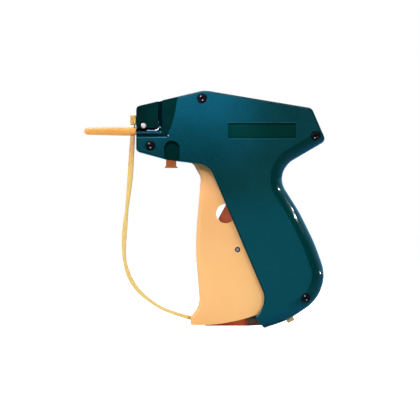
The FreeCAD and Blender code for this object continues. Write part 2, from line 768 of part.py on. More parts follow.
# ---- slide and rod -----------------------------------------------------------------
def slide():
    """Clevis block that carries the ejector rod."""
    inner = lever_half_width + lever_side_gap
    block = box((slide_pin_x - slide_front, slide_pin_x + slide_back), (-slide_half_width, slide_half_width),
                (needle_z - slide_half_height, needle_z + slide_half_height))
    block = block.makeFillet(0.8, [edge for edge in block.Edges if abs(edge.CenterOfMass.y) > slide_half_width - 0.01
                                   and abs(edge.CenterOfMass.x - slide_pin_x) > 3.0])
    throat = box((slide_pin_x - slide_front + slide_bridge, slide_pin_x + slide_back + 1.0), (-inner, inner),
                 (needle_z - slide_half_height - 1.0, needle_z + slide_half_height + 1.0))
    hole = rod_y((slide_pin_x, needle_z), pin_radius + run_gap, -slide_half_width, slide_half_width)
    bore = rod_x(0.0, needle_z, rod_radius, slide_pin_x - slide_front - 1.0, slide_pin_x - slide_front + slide_bridge)
    return block.cut([throat, hole, bore])


def ejector_rod():
    """Thin rod that pushes each fastener's bar out through the needle."""
    back = slide_pin_x - slide_front + slide_bridge
    return rod_x(0.0, needle_z, rod_radius, slide_pin_x - rod_reach, back)


def rod_guide():
    """Block between the shells that leads the rod to the needle."""
    block = box(guide_x, (-guide_half[0], guide_half[0]), (needle_z - guide_half[1], needle_z + guide_half[1]))
    return block.cut(rod_x(0.0, needle_z, rod_radius + run_gap, guide_x[0] - 1.0, guide_x[1] + 1.0))


# ---- nose parts --------------------------------------------------------------------
def nose_plates():
    """Thin plates in the left recess, parted by the fastener's L-shaped way: front, then back."""
    face_y = half_width - recess_depth
    outline = recess_outline()
    gap = plate_gap
    corners = [(nose_x, recess_floor_z + gap), (outline[1][0] - gap, recess_floor_z + gap)]
    corners += [(x - gap, z) for x, z in outline[2:-2]] + [(outline[-2][0] - gap, outline[-2][1]), outline[-1]]
    edge = slab(rounded_face(housing_corners()).makeOffset2D(-gap), -half_width, 0.0)
    plate = slab(face_of(corners), -face_y - plate_thickness, -face_y).common(edge)
    cuts = fastener_way() + [rod_y(lock_point, lock_pin_radius + run_gap, -half_width, 0.0),
                             box((nose_x - 1.0, clip_slot_x[1] + gap), (-half_width, 0.0), (0.0, path_z[0] + gap))]
    return sorted(plate.cut(cuts).Solids, key=lambda solid: solid.CenterOfMass.x)


def nose_rivet():
    """Bright rivet that holds the nose plate."""
    face_y = half_width - recess_depth
    return rod_y(lock_point, lock_pin_radius, -face_y - plate_thickness - 0.5, -face_y + rivet_depth - 0.1)


def lock_pin():
    """Pin in the right side of the nose that the needle lock turns on."""
    face_y = half_width - recess_depth
    return rod_y(lock_point, lock_pin_radius, face_y - rivet_depth + 0.1, face_y + lock_thickness + 0.7)


def needle_lock():
    """Lever in the right recess that holds the needle's hub."""
    outer = half_width - recess_depth + 0.1
    end = (lock_point[0] + lock_arm, lock_point[1] - 1.6)
    arm = slab(face_of(strip_corners([lock_point, end], lock_width / 2.0)), outer, outer + lock_thickness)
    eye = rod_y(lock_point, lock_width / 2.0, outer, outer + lock_thickness)
    tip = rod_y(end, lock_width / 2.0, outer, outer + lock_thickness)
    lever = join([arm, eye, tip])
    return lever.cut(rod_y(lock_point, lock_pin_radius + run_gap, 0.0, half_width))


def needle_hub():
    """Moulded base that the needle stands in."""
    half_y = hub_size[0] / 2.0
    half_z = hub_size[1] / 2.0
    block = box(hub_x, (-half_y, half_y), (needle_z - half_z, needle_z + half_z))
    bore = rod_x(0.0, needle_z, needle_radius, hub_x[0] - 1.0, hub_x[1] + 1.0)
    slot = box((hub_x[0] - 1.0, hub_x[1] + 1.0), (-half_y - 1.0, 0.0),
               (needle_z - needle_slot / 2.0, needle_z + needle_slot / 2.0))
    return block.cut([bore, slot])


def needle():
    """Slotted hollow needle with a slanted tip."""
    tube = rod_x(0.0, needle_z, needle_radius, needle_tip_x, hub_x[1])
    bore = rod_x(0.0, needle_z, needle_bore, needle_tip_x - 1.0, hub_x[1] + 1.0)
    slot = box((needle_tip_x - 1.0, hub_x[1] + 1.0), (-needle_radius - 1.0, 0.0),
               (needle_z - needle_slot / 2.0, needle_z + needle_slot / 2.0))
    over = needle_radius * 1.3
    bevel = slab(face_of([(needle_tip_x - 1.0, needle_z - over), (needle_tip_x + needle_bevel, needle_z + over),
                          (needle_tip_x - 1.0, needle_z + over)]), -over, over)
    return tube.cut([bore, slot, bevel])


def feed_wheel():
    """Toothed wheel that steps the clip of fasteners down."""
    y, z = wheel_center
    body = rod_x(y, z, wheel_root_radius, wheel_x[0], wheel_x[1])
    teeth = []
    tooth = box(wheel_x, (y, y + wheel_tip_radius), (z - 0.32, z + 0.32))
    for index in range(wheel_teeth):
        copy = tooth.copy()
        copy.rotate(FreeCAD.Vector(wheel_x[0], y, z), FreeCAD.Vector(1, 0, 0), 360.0 / wheel_teeth * (index + 0.5))
        teeth.append(copy)
    shaft_hole = rod_x(y, z, shaft_radius + run_gap, wheel_x[0], wheel_x[1])
    return join([body] + teeth).cut(shaft_hole)


def feed_shaft():
    """Steel shaft of the feed wheel and of the feed pawl."""
    return rod_x(wheel_center[0], wheel_center[1], shaft_radius, shaft_x[0], shaft_x[1])


def feed_pawl():
    """Arm on the shaft that turns the wheel by one tooth a stroke."""
    y, z = wheel_center
    hub = rod_x(y, z, pawl_hub_radius, *pawl_x)
    arm = box(pawl_x, (y - pawl_width / 2.0, y + pawl_width / 2.0), (z - pawl_reach, z))
    return join([hub, arm]).cut(rod_x(y, z, shaft_radius + run_gap, *pawl_x))


def holding_leaf():
    """Leaf spring that keeps the wheel from turning back."""
    return box(leaf_x, (leaf_y, leaf_y + leaf_thickness), leaf_z)


def cutter_blade():
    """Small blade beside the fastener's way."""
    return box(blade_x, blade_y, (blade_z, blade_z + blade_thickness))


# ---- release button ----------------------------------------------------------------
def release_button():
    """Push button under the barrel, with a lip below and a collar above."""
    half = button_half_width
    stem = box(button_x, (-half, half), (button_bottom_z, button_top_z))
    wide = grown(button_x, button_lip)
    lip_z = button_bottom_z + button_lip_height
    flare_z = button_bottom_z + button_flare_height
    lip = slab(face_of([(wide[0], button_bottom_z), (wide[1], button_bottom_z), (wide[1], lip_z),
                        (button_x[1], flare_z), (button_x[0], flare_z), (wide[0], lip_z)]), -half, half)
    collar = box(grown(button_x, button_collar), (-half, half), (button_top_z - button_collar_height, button_top_z))
    return join([stem, lip, collar])


def button_spring():
    """Compression spring on top of the release button."""
    turns = 4
    height = button_spring_top_z - button_top_z - button_spring_wire
    x = (button_x[0] + button_x[1]) / 2.0
    pitch = height / turns
    helix = Part.makeHelix(pitch, height, button_spring_radius)
    start = FreeCAD.Vector(button_spring_radius, 0, 0)
    circle = Part.Wire([Part.Circle(start, FreeCAD.Vector(0, 1, 0), button_spring_wire / 2.0).toShape()])
    coil = Part.Wire(helix.Edges).makePipeShell([circle], True, True)
    coil.translate(FreeCAD.Vector(x, 0, button_top_z + button_spring_wire / 2.0))
    return coil


# ---- cap and strap -----------------------------------------------------------------
def needle_cap():
    """Slim sleeve over the needle, with a round tip and a slotted skirt round the strap's eye."""
    tip_center = cap_tip_x + cap_tip_radius
    profile = [FreeCAD.Vector(cap_tip_x, 0, needle_z), FreeCAD.Vector(cap_back_x, 0, needle_z),
               FreeCAD.Vector(cap_back_x, 0, needle_z + cap_back_radius),
               FreeCAD.Vector(tip_center, 0, needle_z + cap_tip_radius)]
    edges = [Part.LineSegment(profile[index], profile[index + 1]).toShape() for index in range(len(profile) - 1)]
    middle = FreeCAD.Vector(tip_center - cap_tip_radius * math.sqrt(0.5), 0,
                            needle_z + cap_tip_radius * math.sqrt(0.5))
    edges.append(Part.Arc(profile[-1], middle, profile[0]).toShape())
    body = Part.Face(Part.Wire(edges)).revolve(FreeCAD.Vector(0, 0, needle_z), FreeCAD.Vector(1, 0, 0), 360.0)
    skirt_x = eye_x[0] - 2.0 * run_gap
    return body.cut([rod_x(0.0, needle_z, cap_bore_radius, needle_tip_x - cap_bore_past, cap_back_x + 1.0),
                     rod_x(0.0, needle_z, needle_radius + eye_wall + 2.0 * run_gap, skirt_x, cap_back_x + 1.0),
                     box((skirt_x, cap_back_x + 1.0), (-cap_slot_half, cap_slot_half),
                         (needle_z - cap_back_radius - 1.0, needle_z + cap_back_radius + 1.0))])


def curve_face(places):
    """Face of a strip along a smooth curve through (x, z, width) places."""
    count = len(places)
    middle = [(x, z) for x, z, width in places]
    left = []
    right = []
    for index, place in enumerate(places):
        before = middle[max(index - 1, 0)]
        after = middle[min(index + 1, count - 1)]
        share = place[2] / 2.0 / math.dist(before, after)
        left.append(at((place[0] - (after[1] - before[1]) * share, place[1] + (after[0] - before[0]) * share)))
        right.append(at((place[0] + (after[1] - before[1]) * share, place[1] - (after[0] - before[0]) * share)))
    curves = []
    for points in (left, right[::-1]):
        curve = Part.BSplineCurve()
        curve.interpolate(points)
        curves.append(curve.toShape())
    edges = [curves[0], Part.LineSegment(left[-1], right[-1]).toShape(),
             curves[1], Part.LineSegment(right[0], left[0]).toShape()]
    return Part.Face(Part.Wire(edges))


def cap_strap():
    """Moulded strap from an eye inside the cap's skirt to the trigger's toe, with a tab on top."""
    strip = slab(curve_face(strap_points), -strap_half_width, strap_half_width)
    eye_radius = needle_radius + run_gap
    neck_half = cap_slot_half - run_gap
    middle_x = (eye_x[0] + eye_x[1]) / 2.0
    ring = rod_x(0.0, needle_z, eye_radius + eye_wall, *eye_x)
    low_neck = box(eye_x, (-neck_half, neck_half), (strap_points[0][1] - 1.0, needle_z))
    high_neck = box((middle_x - neck_half_length, middle_x + neck_half_length), (-neck_half, neck_half),
                    (needle_z, tab_z[0] + 0.5))
    tab = box(tab_x, (-strap_half_width, strap_half_width), tab_z)
    tab = tab.makeFillet(0.5, [edge for edge in tab.Edges if abs(edge.CenterOfMass.z - tab_z[1]) < 1e-6])
    tongue = box((strap_points[-1][0] - 0.8, strap_points[-1][0] + strap_tongue_length),
                 (-strap_tongue_half, strap_tongue_half), strap_tongue_z)
    body = join([strip, ring, low_neck, high_neck, tab, tongue])
    return body.cut(rod_x(0.0, needle_z, eye_radius, eye_x[0] - 1.0, eye_x[1] + 1.0))


# ---- pins --------------------------------------------------------------------------
def shell_pin(point):
    """Steel pin held in the sockets of both shells."""
    reach = half_width - wall + socket_depth - 0.1
    return rod_y(point, pin_radius, -reach, reach)


def trigger_link_pin():
    """Pin across the trigger that drives the lever."""
    shoulder = trigger_half_width - link_end_length
    return join([rod_y(link_point, link_radius, -shoulder, shoulder),
                 rod_y(link_point, link_end_radius, -trigger_half_width, trigger_half_width)])


def slide_pin():
    """Cross pin of the slide."""
    return rod_y((slide_pin_x, needle_z), pin_radius, -slide_half_width, slide_half_width)


def spring_anchor():
    """Post at the back of the neck that holds the return spring."""
    reach = half_width - wall
    return rod_y(spring_post, spring_post_radius, -reach, reach)


# ---- build -------------------------------------------------------------------------
os.makedirs("parts", exist_ok=True)
skin_solid = housing_skin()
room_solid = housing_room()
save("left_shell", shell(-1, skin_solid, room_solid))
save("right_shell", shell(1, skin_solid, room_solid))
save("shell_screws", shell_screws())
save("trigger", trigger())
save("trigger_pivot_pin", shell_pin(pivot))
save("trigger_link_pin", trigger_link_pin())
save("trigger_guide", trigger_guide())
save("guide_pad", pad_solid(0.0))
save("left_toe_cheek", toe_cheek(-1, 0.0))
save("right_toe_cheek", toe_cheek(1, 0.0))
save("drive_lever", drive_lever())
save("lever_pivot_pin", shell_pin(lever_pivot))
save("return_spring", return_spring())
save("spring_anchor", spring_anchor())
save("slide", slide())
save("slide_pin", slide_pin())
save("ejector_rod", ejector_rod())
save("rod_guide", rod_guide())
front_plate, back_plate = nose_plates()
save("nose_plate", front_plate)
save("nose_back_plate", back_plate)
save("nose_rivet", nose_rivet())
save("needle_lock", needle_lock())
save("lock_pin", lock_pin())
save("needle_hub", needle_hub())
save("needle", needle())
save("feed_wheel", feed_wheel())
save("feed_shaft", feed_shaft())
save("feed_pawl", feed_pawl())
save("holding_leaf", holding_leaf())
save("cutter_blade", cutter_blade())
save("release_button", release_button())
save("button_spring", button_spring())
save("needle_cap", needle_cap())
save("cap_strap", cap_strap())
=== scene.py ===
"""Looks of a garment tag attacher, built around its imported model."""

import logging
import math
from collections.abc import Sequence
from dataclasses import dataclass
from enum import Enum

import bmesh
import bpy
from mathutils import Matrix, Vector

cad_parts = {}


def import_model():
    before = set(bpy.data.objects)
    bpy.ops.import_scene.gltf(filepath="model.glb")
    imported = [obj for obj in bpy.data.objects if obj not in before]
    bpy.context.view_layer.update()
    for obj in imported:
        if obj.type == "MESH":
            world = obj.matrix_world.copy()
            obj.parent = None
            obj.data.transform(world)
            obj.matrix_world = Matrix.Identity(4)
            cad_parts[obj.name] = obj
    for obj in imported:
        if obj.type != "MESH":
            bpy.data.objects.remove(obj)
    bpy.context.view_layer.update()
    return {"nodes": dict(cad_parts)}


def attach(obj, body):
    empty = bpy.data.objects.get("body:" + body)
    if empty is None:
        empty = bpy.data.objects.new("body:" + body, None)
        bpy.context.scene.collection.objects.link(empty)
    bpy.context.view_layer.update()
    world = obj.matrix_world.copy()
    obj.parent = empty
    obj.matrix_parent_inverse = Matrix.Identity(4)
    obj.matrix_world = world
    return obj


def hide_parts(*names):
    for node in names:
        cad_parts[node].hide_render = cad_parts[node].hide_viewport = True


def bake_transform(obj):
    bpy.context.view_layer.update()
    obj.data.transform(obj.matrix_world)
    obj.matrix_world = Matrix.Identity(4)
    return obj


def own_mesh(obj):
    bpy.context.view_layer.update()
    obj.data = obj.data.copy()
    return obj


log = logging.getLogger("tag_attacher")
MM = 0.001
BLACK = (0.0, 0.0, 0.0, 1.0)
WHITE = (1.0, 1.0, 1.0, 1.0)

# Sockets of the colour mix node, by number: its two colours, and its result.
MIX_COLORS = (6, 7)
MIX_RESULT = 2

# How far a bevelled normal turns from the real one, as cosines: no edge yet, and a full edge.
EDGE_DOTS = (0.995, 0.86)
BEVEL_SAMPLES = 4
NOISE_SPAN = (0.3, 0.7)

# Meshes: edges sharper than this stay sharp, and a turned form ends in a tiny ring, in millimetres.
SHARP_DEGREES = 42.0
AXIS_RADIUS = 0.01
COIL_STEPS = 28
STUD_STEPS = 10
STUD_SIDES = 16

# Middle of the side view, in metres, that the camera and the soft lamps face.
MIDDLE = (0.0032, 0.0, 0.0657)

Socket = bpy.types.NodeSocket
Piece = bpy.types.Object
Pair = tuple[float, float]
Triple = tuple[float, float, float]
Linear = tuple[float, float, float, float]


def linear(color: Triple) -> Linear:
    """Turn a display colour into a linear one, by the sRGB curve.

    Args:
        color: red, green and blue from 0 to 255.

    Returns:
        Linear red, green, blue and an alpha of 1.
    """
    def channel(value: float) -> float:
        """One channel, from 0 to 255, made linear."""
        share = value / 255.0
        return share / 12.92 if share <= 0.04045 else ((share + 0.055) / 1.055) ** 2.4

    return (channel(color[0]), channel(color[1]), channel(color[2]), 1.0)


class Nodes:
    """Node tree with short calls for the nodes used here."""

    def __init__(self, tree: bpy.types.NodeTree) -> None:
        """Start with an emptied tree.

        Args:
            tree: the tree that the nodes go into.
        """
        self.tree = tree
        self.tree.nodes.clear()

    def add(self, kind: str, inputs: dict | None = None, **settings: object) -> bpy.types.Node:
        """Add a node.

        Args:
            kind: the node's type.
            inputs: socket name or number to a value or to another node's socket.
            settings: the node's own properties.

        Returns:
            The new node.
        """
        node = self.tree.nodes.new(kind)
        for key, value in settings.items():
            setattr(node, key, value)
        for key, value in (inputs or {}).items():
            self.put(node.inputs[key], value)
        return node

    def put(self, socket: Socket, value: object) -> None:
        """Link a socket to another one, or set its value.

        Args:
            socket: the socket that takes it.
            value: a value, or another node's socket.
        """
        if isinstance(value, Socket):
            self.tree.links.new(value, socket)
        else:
            socket.default_value = value

    def math(self, operation: str, first: object, second: object = 0.0) -> Socket:
        """Result of one arithmetic step."""
        return self.add("ShaderNodeMath", {0: first, 1: second}, operation=operation).outputs[0]

    def remap(self, value: Socket, low: float, high: float, to_low: float = 0.0, to_high: float = 1.0,
              smooth: bool = False) -> Socket:
        """Carry a value from one range to another and hold it inside.

        Args:
            value: the value.
            low: where its range starts.
            high: where its range ends.
            to_low: what its start becomes.
            to_high: what its end becomes.
            smooth: whether it eases in and out.

        Returns:
            The new value.
        """
        kind = "SMOOTHSTEP" if smooth else "LINEAR"
        return self.add("ShaderNodeMapRange", {"Value": value, "From Min": low, "From Max": high,
                                               "To Min": to_low, "To Max": to_high},
                        interpolation_type=kind).outputs[0]

    def mix(self, share: object, first: object, second: object) -> Socket:
        """Blend two colours.

        Args:
            share: how much of the second one there is, from 0 to 1.
            first: the first colour.
            second: the second colour.

        Returns:
            The blended colour.
        """
        node = self.add("ShaderNodeMix", {"Factor": share}, data_type="RGBA")
        for number, value in zip(MIX_COLORS, (first, second)):
            self.put(node.inputs[number], value)
        return node.outputs[MIX_RESULT]

    def split(self, vector: Socket) -> tuple[Socket, Socket, Socket]:
        """The three parts of a vector."""
        node = self.add("ShaderNodeSeparateXYZ", {0: vector})
        return node.outputs[0], node.outputs[1], node.outputs[2]


class Graph(Nodes):
    """Node tree of one material."""

    def __init__(self, name: str) -> None:
        """Start a material with one shader.

        Args:
            name: the material's name.
        """
        self.material = bpy.data.materials.new(name)
        self.material.use_nodes = True
        super().__init__(self.material.node_tree)
        self.shader = self.add("ShaderNodeBsdfPrincipled")
        output = self.add("ShaderNodeOutputMaterial")
        self.tree.links.new(self.shader.outputs[0], output.inputs[0])
        self.place = self.add("ShaderNodeTexCoord").outputs["Object"]

    def set(self, **inputs: object) -> None:
        """Set the shader's sockets, with underscores for spaces in their names."""
        for key, value in inputs.items():
            self.put(self.shader.inputs[key.replace("_", " ")], value)

    def noise(self, size_mm: float, detail: float = 2.0, roughness: float = 0.5,
              place: Socket | None = None) -> Socket:
        """Make noise with features of about one size.

        Args:
            size_mm: the size in millimetres.
            detail: how many finer layers it has.
            roughness: how strong the finer layers are.
            place: where it is read, or nothing for the piece's own places.

        Returns:
            The noise, from 0 to 1.
        """
        node = self.add("ShaderNodeTexNoise", {"Vector": place or self.place, "Scale": 1.0 / (size_mm * MM),
                                               "Detail": detail, "Roughness": roughness})
        return node.outputs["Fac"]

    def span_mm(self, place: Socket, span: Pair, to_high: float = 1.0) -> Socket:
        """Smooth step of a place over a span in millimetres."""
        return self.remap(place, span[0] * MM, span[1] * MM, 0.0, to_high, smooth=True)

    def bump(self, height: Socket, depth_mm: float) -> Socket:
        """Surface normal of a height field with a depth in millimetres."""
        inputs = {"Height": height, "Strength": 1.0, "Distance": depth_mm * MM}
        return self.add("ShaderNodeBump", inputs).outputs[0]

    def edge_mask(self, radius_mm: float) -> Socket:
        """Find the sharp edges.

        Args:
            radius_mm: how far from an edge it still counts.

        Returns:
            A mask that is high along sharp edges.
        """
        soft = self.add("ShaderNodeBevel", {"Radius": radius_mm * MM}, samples=BEVEL_SAMPLES).outputs[0]
        hard = self.add("ShaderNodeNewGeometry").outputs["Normal"]
        dot = self.add("ShaderNodeVectorMath", {0: soft, 1: hard}, operation="DOT_PRODUCT").outputs["Value"]
        return self.remap(dot, *EDGE_DOTS)

    def wear(self, tint: Socket, color: Triple, patches: Socket, radius_mm: float, share: float) -> Socket:
        """Wear a colour down along sharp edges.

        Args:
            tint: the colour.
            color: what it wears down to, from 0 to 255.
            patches: where it wears, from 0 to 1.
            radius_mm: how far from an edge it wears.
            share: how much it wears, from 0 to 1.

        Returns:
            The worn colour.
        """
        worn = self.math("MULTIPLY", self.edge_mask(radius_mm), patches)
        return self.mix(self.math("MULTIPLY", worn, share), tint, linear(color))


@dataclass(frozen=True)
class Plastic:
    """Moulded plastic with a fine grain, faint mottling, paler edges and, where given, painted shade that
    darkens it upwards.
    """

    name: str
    color: Triple
    deep: Triple
    roughness: float = 0.42
    rough_spread: float = 0.06
    grain_mm: float = 0.35
    grain_depth_mm: float = 0.012
    mottle_mm: float = 9.0
    edge_share: float = 0.25
    edge_color: Triple = (255, 255, 255)
    speck_share: float = 0.04
    soft_light: float = 0.0
    specular: float = 0.4
    # Painted shade that darkens the colour upwards over these heights, in millimetres, towards this colour.
    painted_shade_z_mm: Pair = (0.0, 0.0)
    painted_shade_color: Triple = (0, 0, 0)
    mottle_span: Pair = (0.35, 0.68)
    speck_mm: float = 0.7
    speck_span: Pair = (0.6, 0.75)
    wear_mm: float = 0.35
    patch_mm: float = 2.5
    cloud_mm: float = 3.0
    scatter: Triple = (1.0, 0.55, 0.3)
    scatter_mm: float = 0.6

    def material(self) -> bpy.types.Material:
        """Build the material.

        Returns:
            The material, with its nodes.
        """
        graph = Graph(self.name)
        mottle = graph.remap(graph.noise(self.mottle_mm, detail=3.0), *self.mottle_span)
        tint = graph.mix(mottle, linear(self.color), linear(self.deep))
        # Painted shade: darker upwards over the given heights, as where a part above casts shade.
        if self.painted_shade_z_mm[0] != self.painted_shade_z_mm[1]:
            painted_shade = graph.span_mm(graph.split(graph.place)[2], self.painted_shade_z_mm)
            tint = graph.mix(painted_shade, tint, linear(self.painted_shade_color))
        specks = graph.noise(self.speck_mm, detail=1.0)
        specks = graph.remap(specks, *self.speck_span, to_high=self.speck_share)
        tint = graph.mix(specks, tint, linear(self.edge_color))
        if self.edge_share > 0.0:
            patches = graph.noise(self.patch_mm)
            tint = graph.wear(tint, self.edge_color, patches, self.wear_mm, self.edge_share)
        grain = graph.noise(self.grain_mm)
        low, high = self.roughness - self.rough_spread, self.roughness + self.rough_spread
        rough = graph.remap(graph.noise(self.cloud_mm, detail=3.0), *NOISE_SPAN, low, high)
        graph.set(Base_Color=tint, Roughness=rough, Normal=graph.bump(grain, self.grain_depth_mm))
        graph.set(Specular_IOR_Level=self.specular)
        if self.soft_light > 0.0:
            graph.set(Subsurface_Weight=self.soft_light, Subsurface_Radius=self.scatter)
            graph.set(Subsurface_Scale=self.scatter_mm * MM)
        return graph.material


@dataclass(frozen=True)
class ShellPlastic:
    """Teal housing plastic: textured flat sides, polished round margins, dark recess floors and a seam, with
    painted shade round the barrel's underside, on the arch's floor and inside the slots, and painted light on
    the grip and the lower margins.
    """

    name: str = "shell_teal"
    color: Triple = (4, 57, 63)
    deep: Triple = (3, 51, 56)
    polished: Triple = (0, 44, 45)
    # Painted light from below: the polished margins turn lighter and bluer from the first height down to the
    # second, in millimetres.
    sole_light: Triple = (2, 64, 76)
    sole_light_z_mm: Pair = (18.0, 9.0)
    floor: Triple = (2, 44, 39)
    # Painted shade: recess floors round the barrel's underside darken towards this colour.
    arch_floor_shade: Triple = (0, 22, 16)
    # Painted shade: flat faces more than about 4 mm inside the sides, as in the nose's slots, take this near
    # black.
    slot_shade: Triple = (0, 16, 18)
    fleck: Triple = (6, 100, 116)
    # Painted light: the housing turns lighter from the first height down to the second, in millimetres.
    grip_light: Triple = (3, 62, 72)
    grip_light_z_mm: Pair = (82.0, 58.0)
    # Painted shade round the barrel's underside: its colour, middle (x, z) and reach in millimetres, and
    # strength.
    belly_shade: Triple = (0, 40, 41)
    belly_place: Pair = (-6.0, 97.0)
    belly_mm: Pair = (34.0, 8.0)
    belly_share: float = 0.8
    seam: Linear = (0.0, 0.004, 0.005, 1.0)
    seam_mm: float = 0.16
    seam_share: float = 0.7
    seam_relief: float = 2.0
    side_mm: float = 12.5
    flat_facing: Pair = (0.975, 0.998)
    shallow_mm: Pair = (0.6, 0.3)
    wall_mm: Pair = (4.4, 4.1)
    mottle_mm: float = 14.0
    mottle_span: Pair = (0.35, 0.7)
    fleck_mm: float = 0.7
    fleck_span: Pair = (0.52, 0.76)
    fleck_share: float = 0.22
    wear_mm: float = 0.4
    patch_mm: float = 3.0
    patch_span: Pair = (0.4, 0.7)
    wear_share: float = 0.35
    roughness: Pair = (0.13, 0.34)
    cloud_mm: float = 5.0
    rough_spread: float = 0.04
    spark_mm: float = 0.45
    spark_detail: Pair = (3.0, 0.65)
    relief_mm: float = 0.04
    specular: float = 0.06
    gloss: float = 0.8
    gloss_roughness: float = 0.05

    def depth(self, graph: Graph, offset: Socket, span: Pair) -> Socket:
        """How far a place lies below the flat side, over a span of depths in millimetres."""
        return graph.remap(offset, (self.side_mm - span[0]) * MM, (self.side_mm - span[1]) * MM, 1.0, 0.0)

    def belly_mask(self, graph: Graph) -> Socket:
        """Find the shaded area round the barrel's underside.

        Args:
            graph: the material's nodes.

        Returns:
            A mask that fades out with the distance from its middle.
        """
        x, _, z = graph.split(graph.place)
        aside = graph.math("SUBTRACT", x, self.belly_place[0] * MM)
        above = graph.math("SUBTRACT", z, self.belly_place[1] * MM)
        squares = (graph.math("MULTIPLY", aside, aside), graph.math("MULTIPLY", above, above))
        away = graph.math("SQRT", graph.math("ADD", *squares))
        return graph.span_mm(away, self.belly_mm, self.belly_share)

    def tint(self, graph: Graph, offset: Socket, flat: Socket, sunk: Socket, seam: Socket) -> Socket:
        """Colour of the housing, with its painted shade and painted light.

        Args:
            graph: the material's nodes.
            offset: distance from the joint face.
            flat: mask of the flat sides.
            sunk: mask of the recess floors.
            seam: mask of the moulding seam.

        Returns:
            The colour.
        """
        z = graph.split(graph.place)[2]
        mottle = graph.remap(graph.noise(self.mottle_mm, detail=3.0), *self.mottle_span)
        tint = graph.mix(mottle, linear(self.color), linear(self.deep))
        # Painted light on the grip.
        tint = graph.mix(graph.span_mm(z, self.grip_light_z_mm), tint, linear(self.grip_light))
        # Painted shade round the barrel's underside.
        belly_shade = self.belly_mask(graph)
        tint = graph.mix(belly_shade, tint, linear(self.belly_shade))
        # Painted light on the lower margins.
        margin = graph.mix(graph.span_mm(z, self.sole_light_z_mm), linear(self.polished), linear(self.sole_light))
        textured = graph.math("SUBTRACT", flat, sunk)
        tint = graph.mix(textured, margin, tint)
        # Painted shade on the recess floors round the barrel's underside.
        tint = graph.mix(sunk, tint, graph.mix(belly_shade, linear(self.floor), linear(self.arch_floor_shade)))
        # Painted shade inside the slots.
        inside = graph.math("MULTIPLY", self.depth(graph, offset, self.wall_mm), flat)
        tint = graph.mix(inside, tint, linear(self.slot_shade))
        flecks = graph.noise(self.fleck_mm, roughness=0.7)
        flecks = graph.remap(flecks, *self.fleck_span, to_high=self.fleck_share)
        tint = graph.mix(graph.math("MULTIPLY", flecks, textured), tint, linear(self.fleck))
        patches = graph.remap(graph.noise(self.patch_mm, detail=3.0), *self.patch_span)
        tint = graph.wear(tint, self.fleck, patches, self.wear_mm, self.wear_share)
        return graph.mix(graph.math("MULTIPLY", seam, self.seam_share), tint, self.seam)

    def material(self) -> bpy.types.Material:
        """Build the material.

        Returns:
            The material, with its nodes.
        """
        graph = Graph(self.name)
        normal = graph.add("ShaderNodeNewGeometry").outputs["Normal"]
        flat = graph.remap(graph.math("ABSOLUTE", graph.split(normal)[1]), *self.flat_facing, smooth=True)
        offset = graph.math("ABSOLUTE", graph.split(graph.place)[1])
        sunk = graph.math("MULTIPLY", self.depth(graph, offset, self.shallow_mm), flat)
        seam = graph.remap(offset, 0.0, self.seam_mm * MM, 1.0, 0.0, smooth=True)
        textured = graph.math("SUBTRACT", flat, sunk)
        spread = (-self.rough_spread, self.rough_spread)
        cloud = graph.remap(graph.noise(self.cloud_mm), *NOISE_SPAN, *spread)
        rough = graph.math("ADD", graph.remap(textured, 0.0, 1.0, *self.roughness), cloud)
        spark = graph.math("MULTIPLY", graph.noise(self.spark_mm, *self.spark_detail), textured)
        height = graph.math("SUBTRACT", spark, graph.math("MULTIPLY", seam, self.seam_relief))
        graph.set(Base_Color=self.tint(graph, offset, flat, sunk, seam), Roughness=rough)
        graph.set(Normal=graph.bump(height, self.relief_mm), Specular_IOR_Level=self.specular)
        coat = graph.remap(flat, 0.0, 1.0, self.gloss, 0.0)
        graph.set(Coat_Weight=coat, Coat_Roughness=self.gloss_roughness)
        return graph.material


@dataclass(frozen=True)
class Metal:
    """Metal with fine turning or drawing marks."""

    name: str
    color: Triple
    deep: Triple
    roughness: float = 0.3
    mark_mm: float = 0.25
    metallic: float = 1.0
    edge_color: Triple = (190, 160, 164)
    edge_share: float = 0.0
    stretch: Triple = (1.0, 6.0, 1.0)
    stain_mm: float = 1.8
    stain_span: Pair = (0.35, 0.7)
    wear_mm: float = 0.3
    patch_mm: float = 0.9
    patch_span: Pair = (0.4, 0.55)
    rough_spread: float = 0.08
    relief_mm: float = 0.006

    def material(self) -> bpy.types.Material:
        """Build the material.

        Returns:
            The material, with its nodes.
        """
        graph = Graph(self.name)
        stretched = graph.add("ShaderNodeMapping", {"Vector": graph.place, "Scale": self.stretch}).outputs[0]
        marks = graph.noise(self.mark_mm, detail=3.0, roughness=0.6, place=stretched)
        stain = graph.remap(graph.noise(self.stain_mm, detail=3.0), *self.stain_span)
        tint = graph.mix(stain, linear(self.color), linear(self.deep))
        if self.edge_share > 0.0:
            patches = graph.remap(graph.noise(self.patch_mm), *self.patch_span)
            tint = graph.wear(tint, self.edge_color, patches, self.wear_mm, self.edge_share)
        low, high = self.roughness - self.rough_spread, self.roughness + self.rough_spread
        graph.set(Base_Color=tint, Roughness=graph.remap(marks, *NOISE_SPAN, low, high))
        graph.set(Metallic=self.metallic, Normal=graph.bump(marks, self.relief_mm))
        return graph.material


# The beads' plastic: it carries painted highlights, glints, a lit face and a shadow line.
def polished(name: str, color: Triple, deep: Triple, roughness: float, specular: float) -> Plastic:
    """Plastic without specks or worn edges."""
    return Plastic(name, color, deep, roughness, edge_share=0.0, speck_share=0.0, specular=specular)


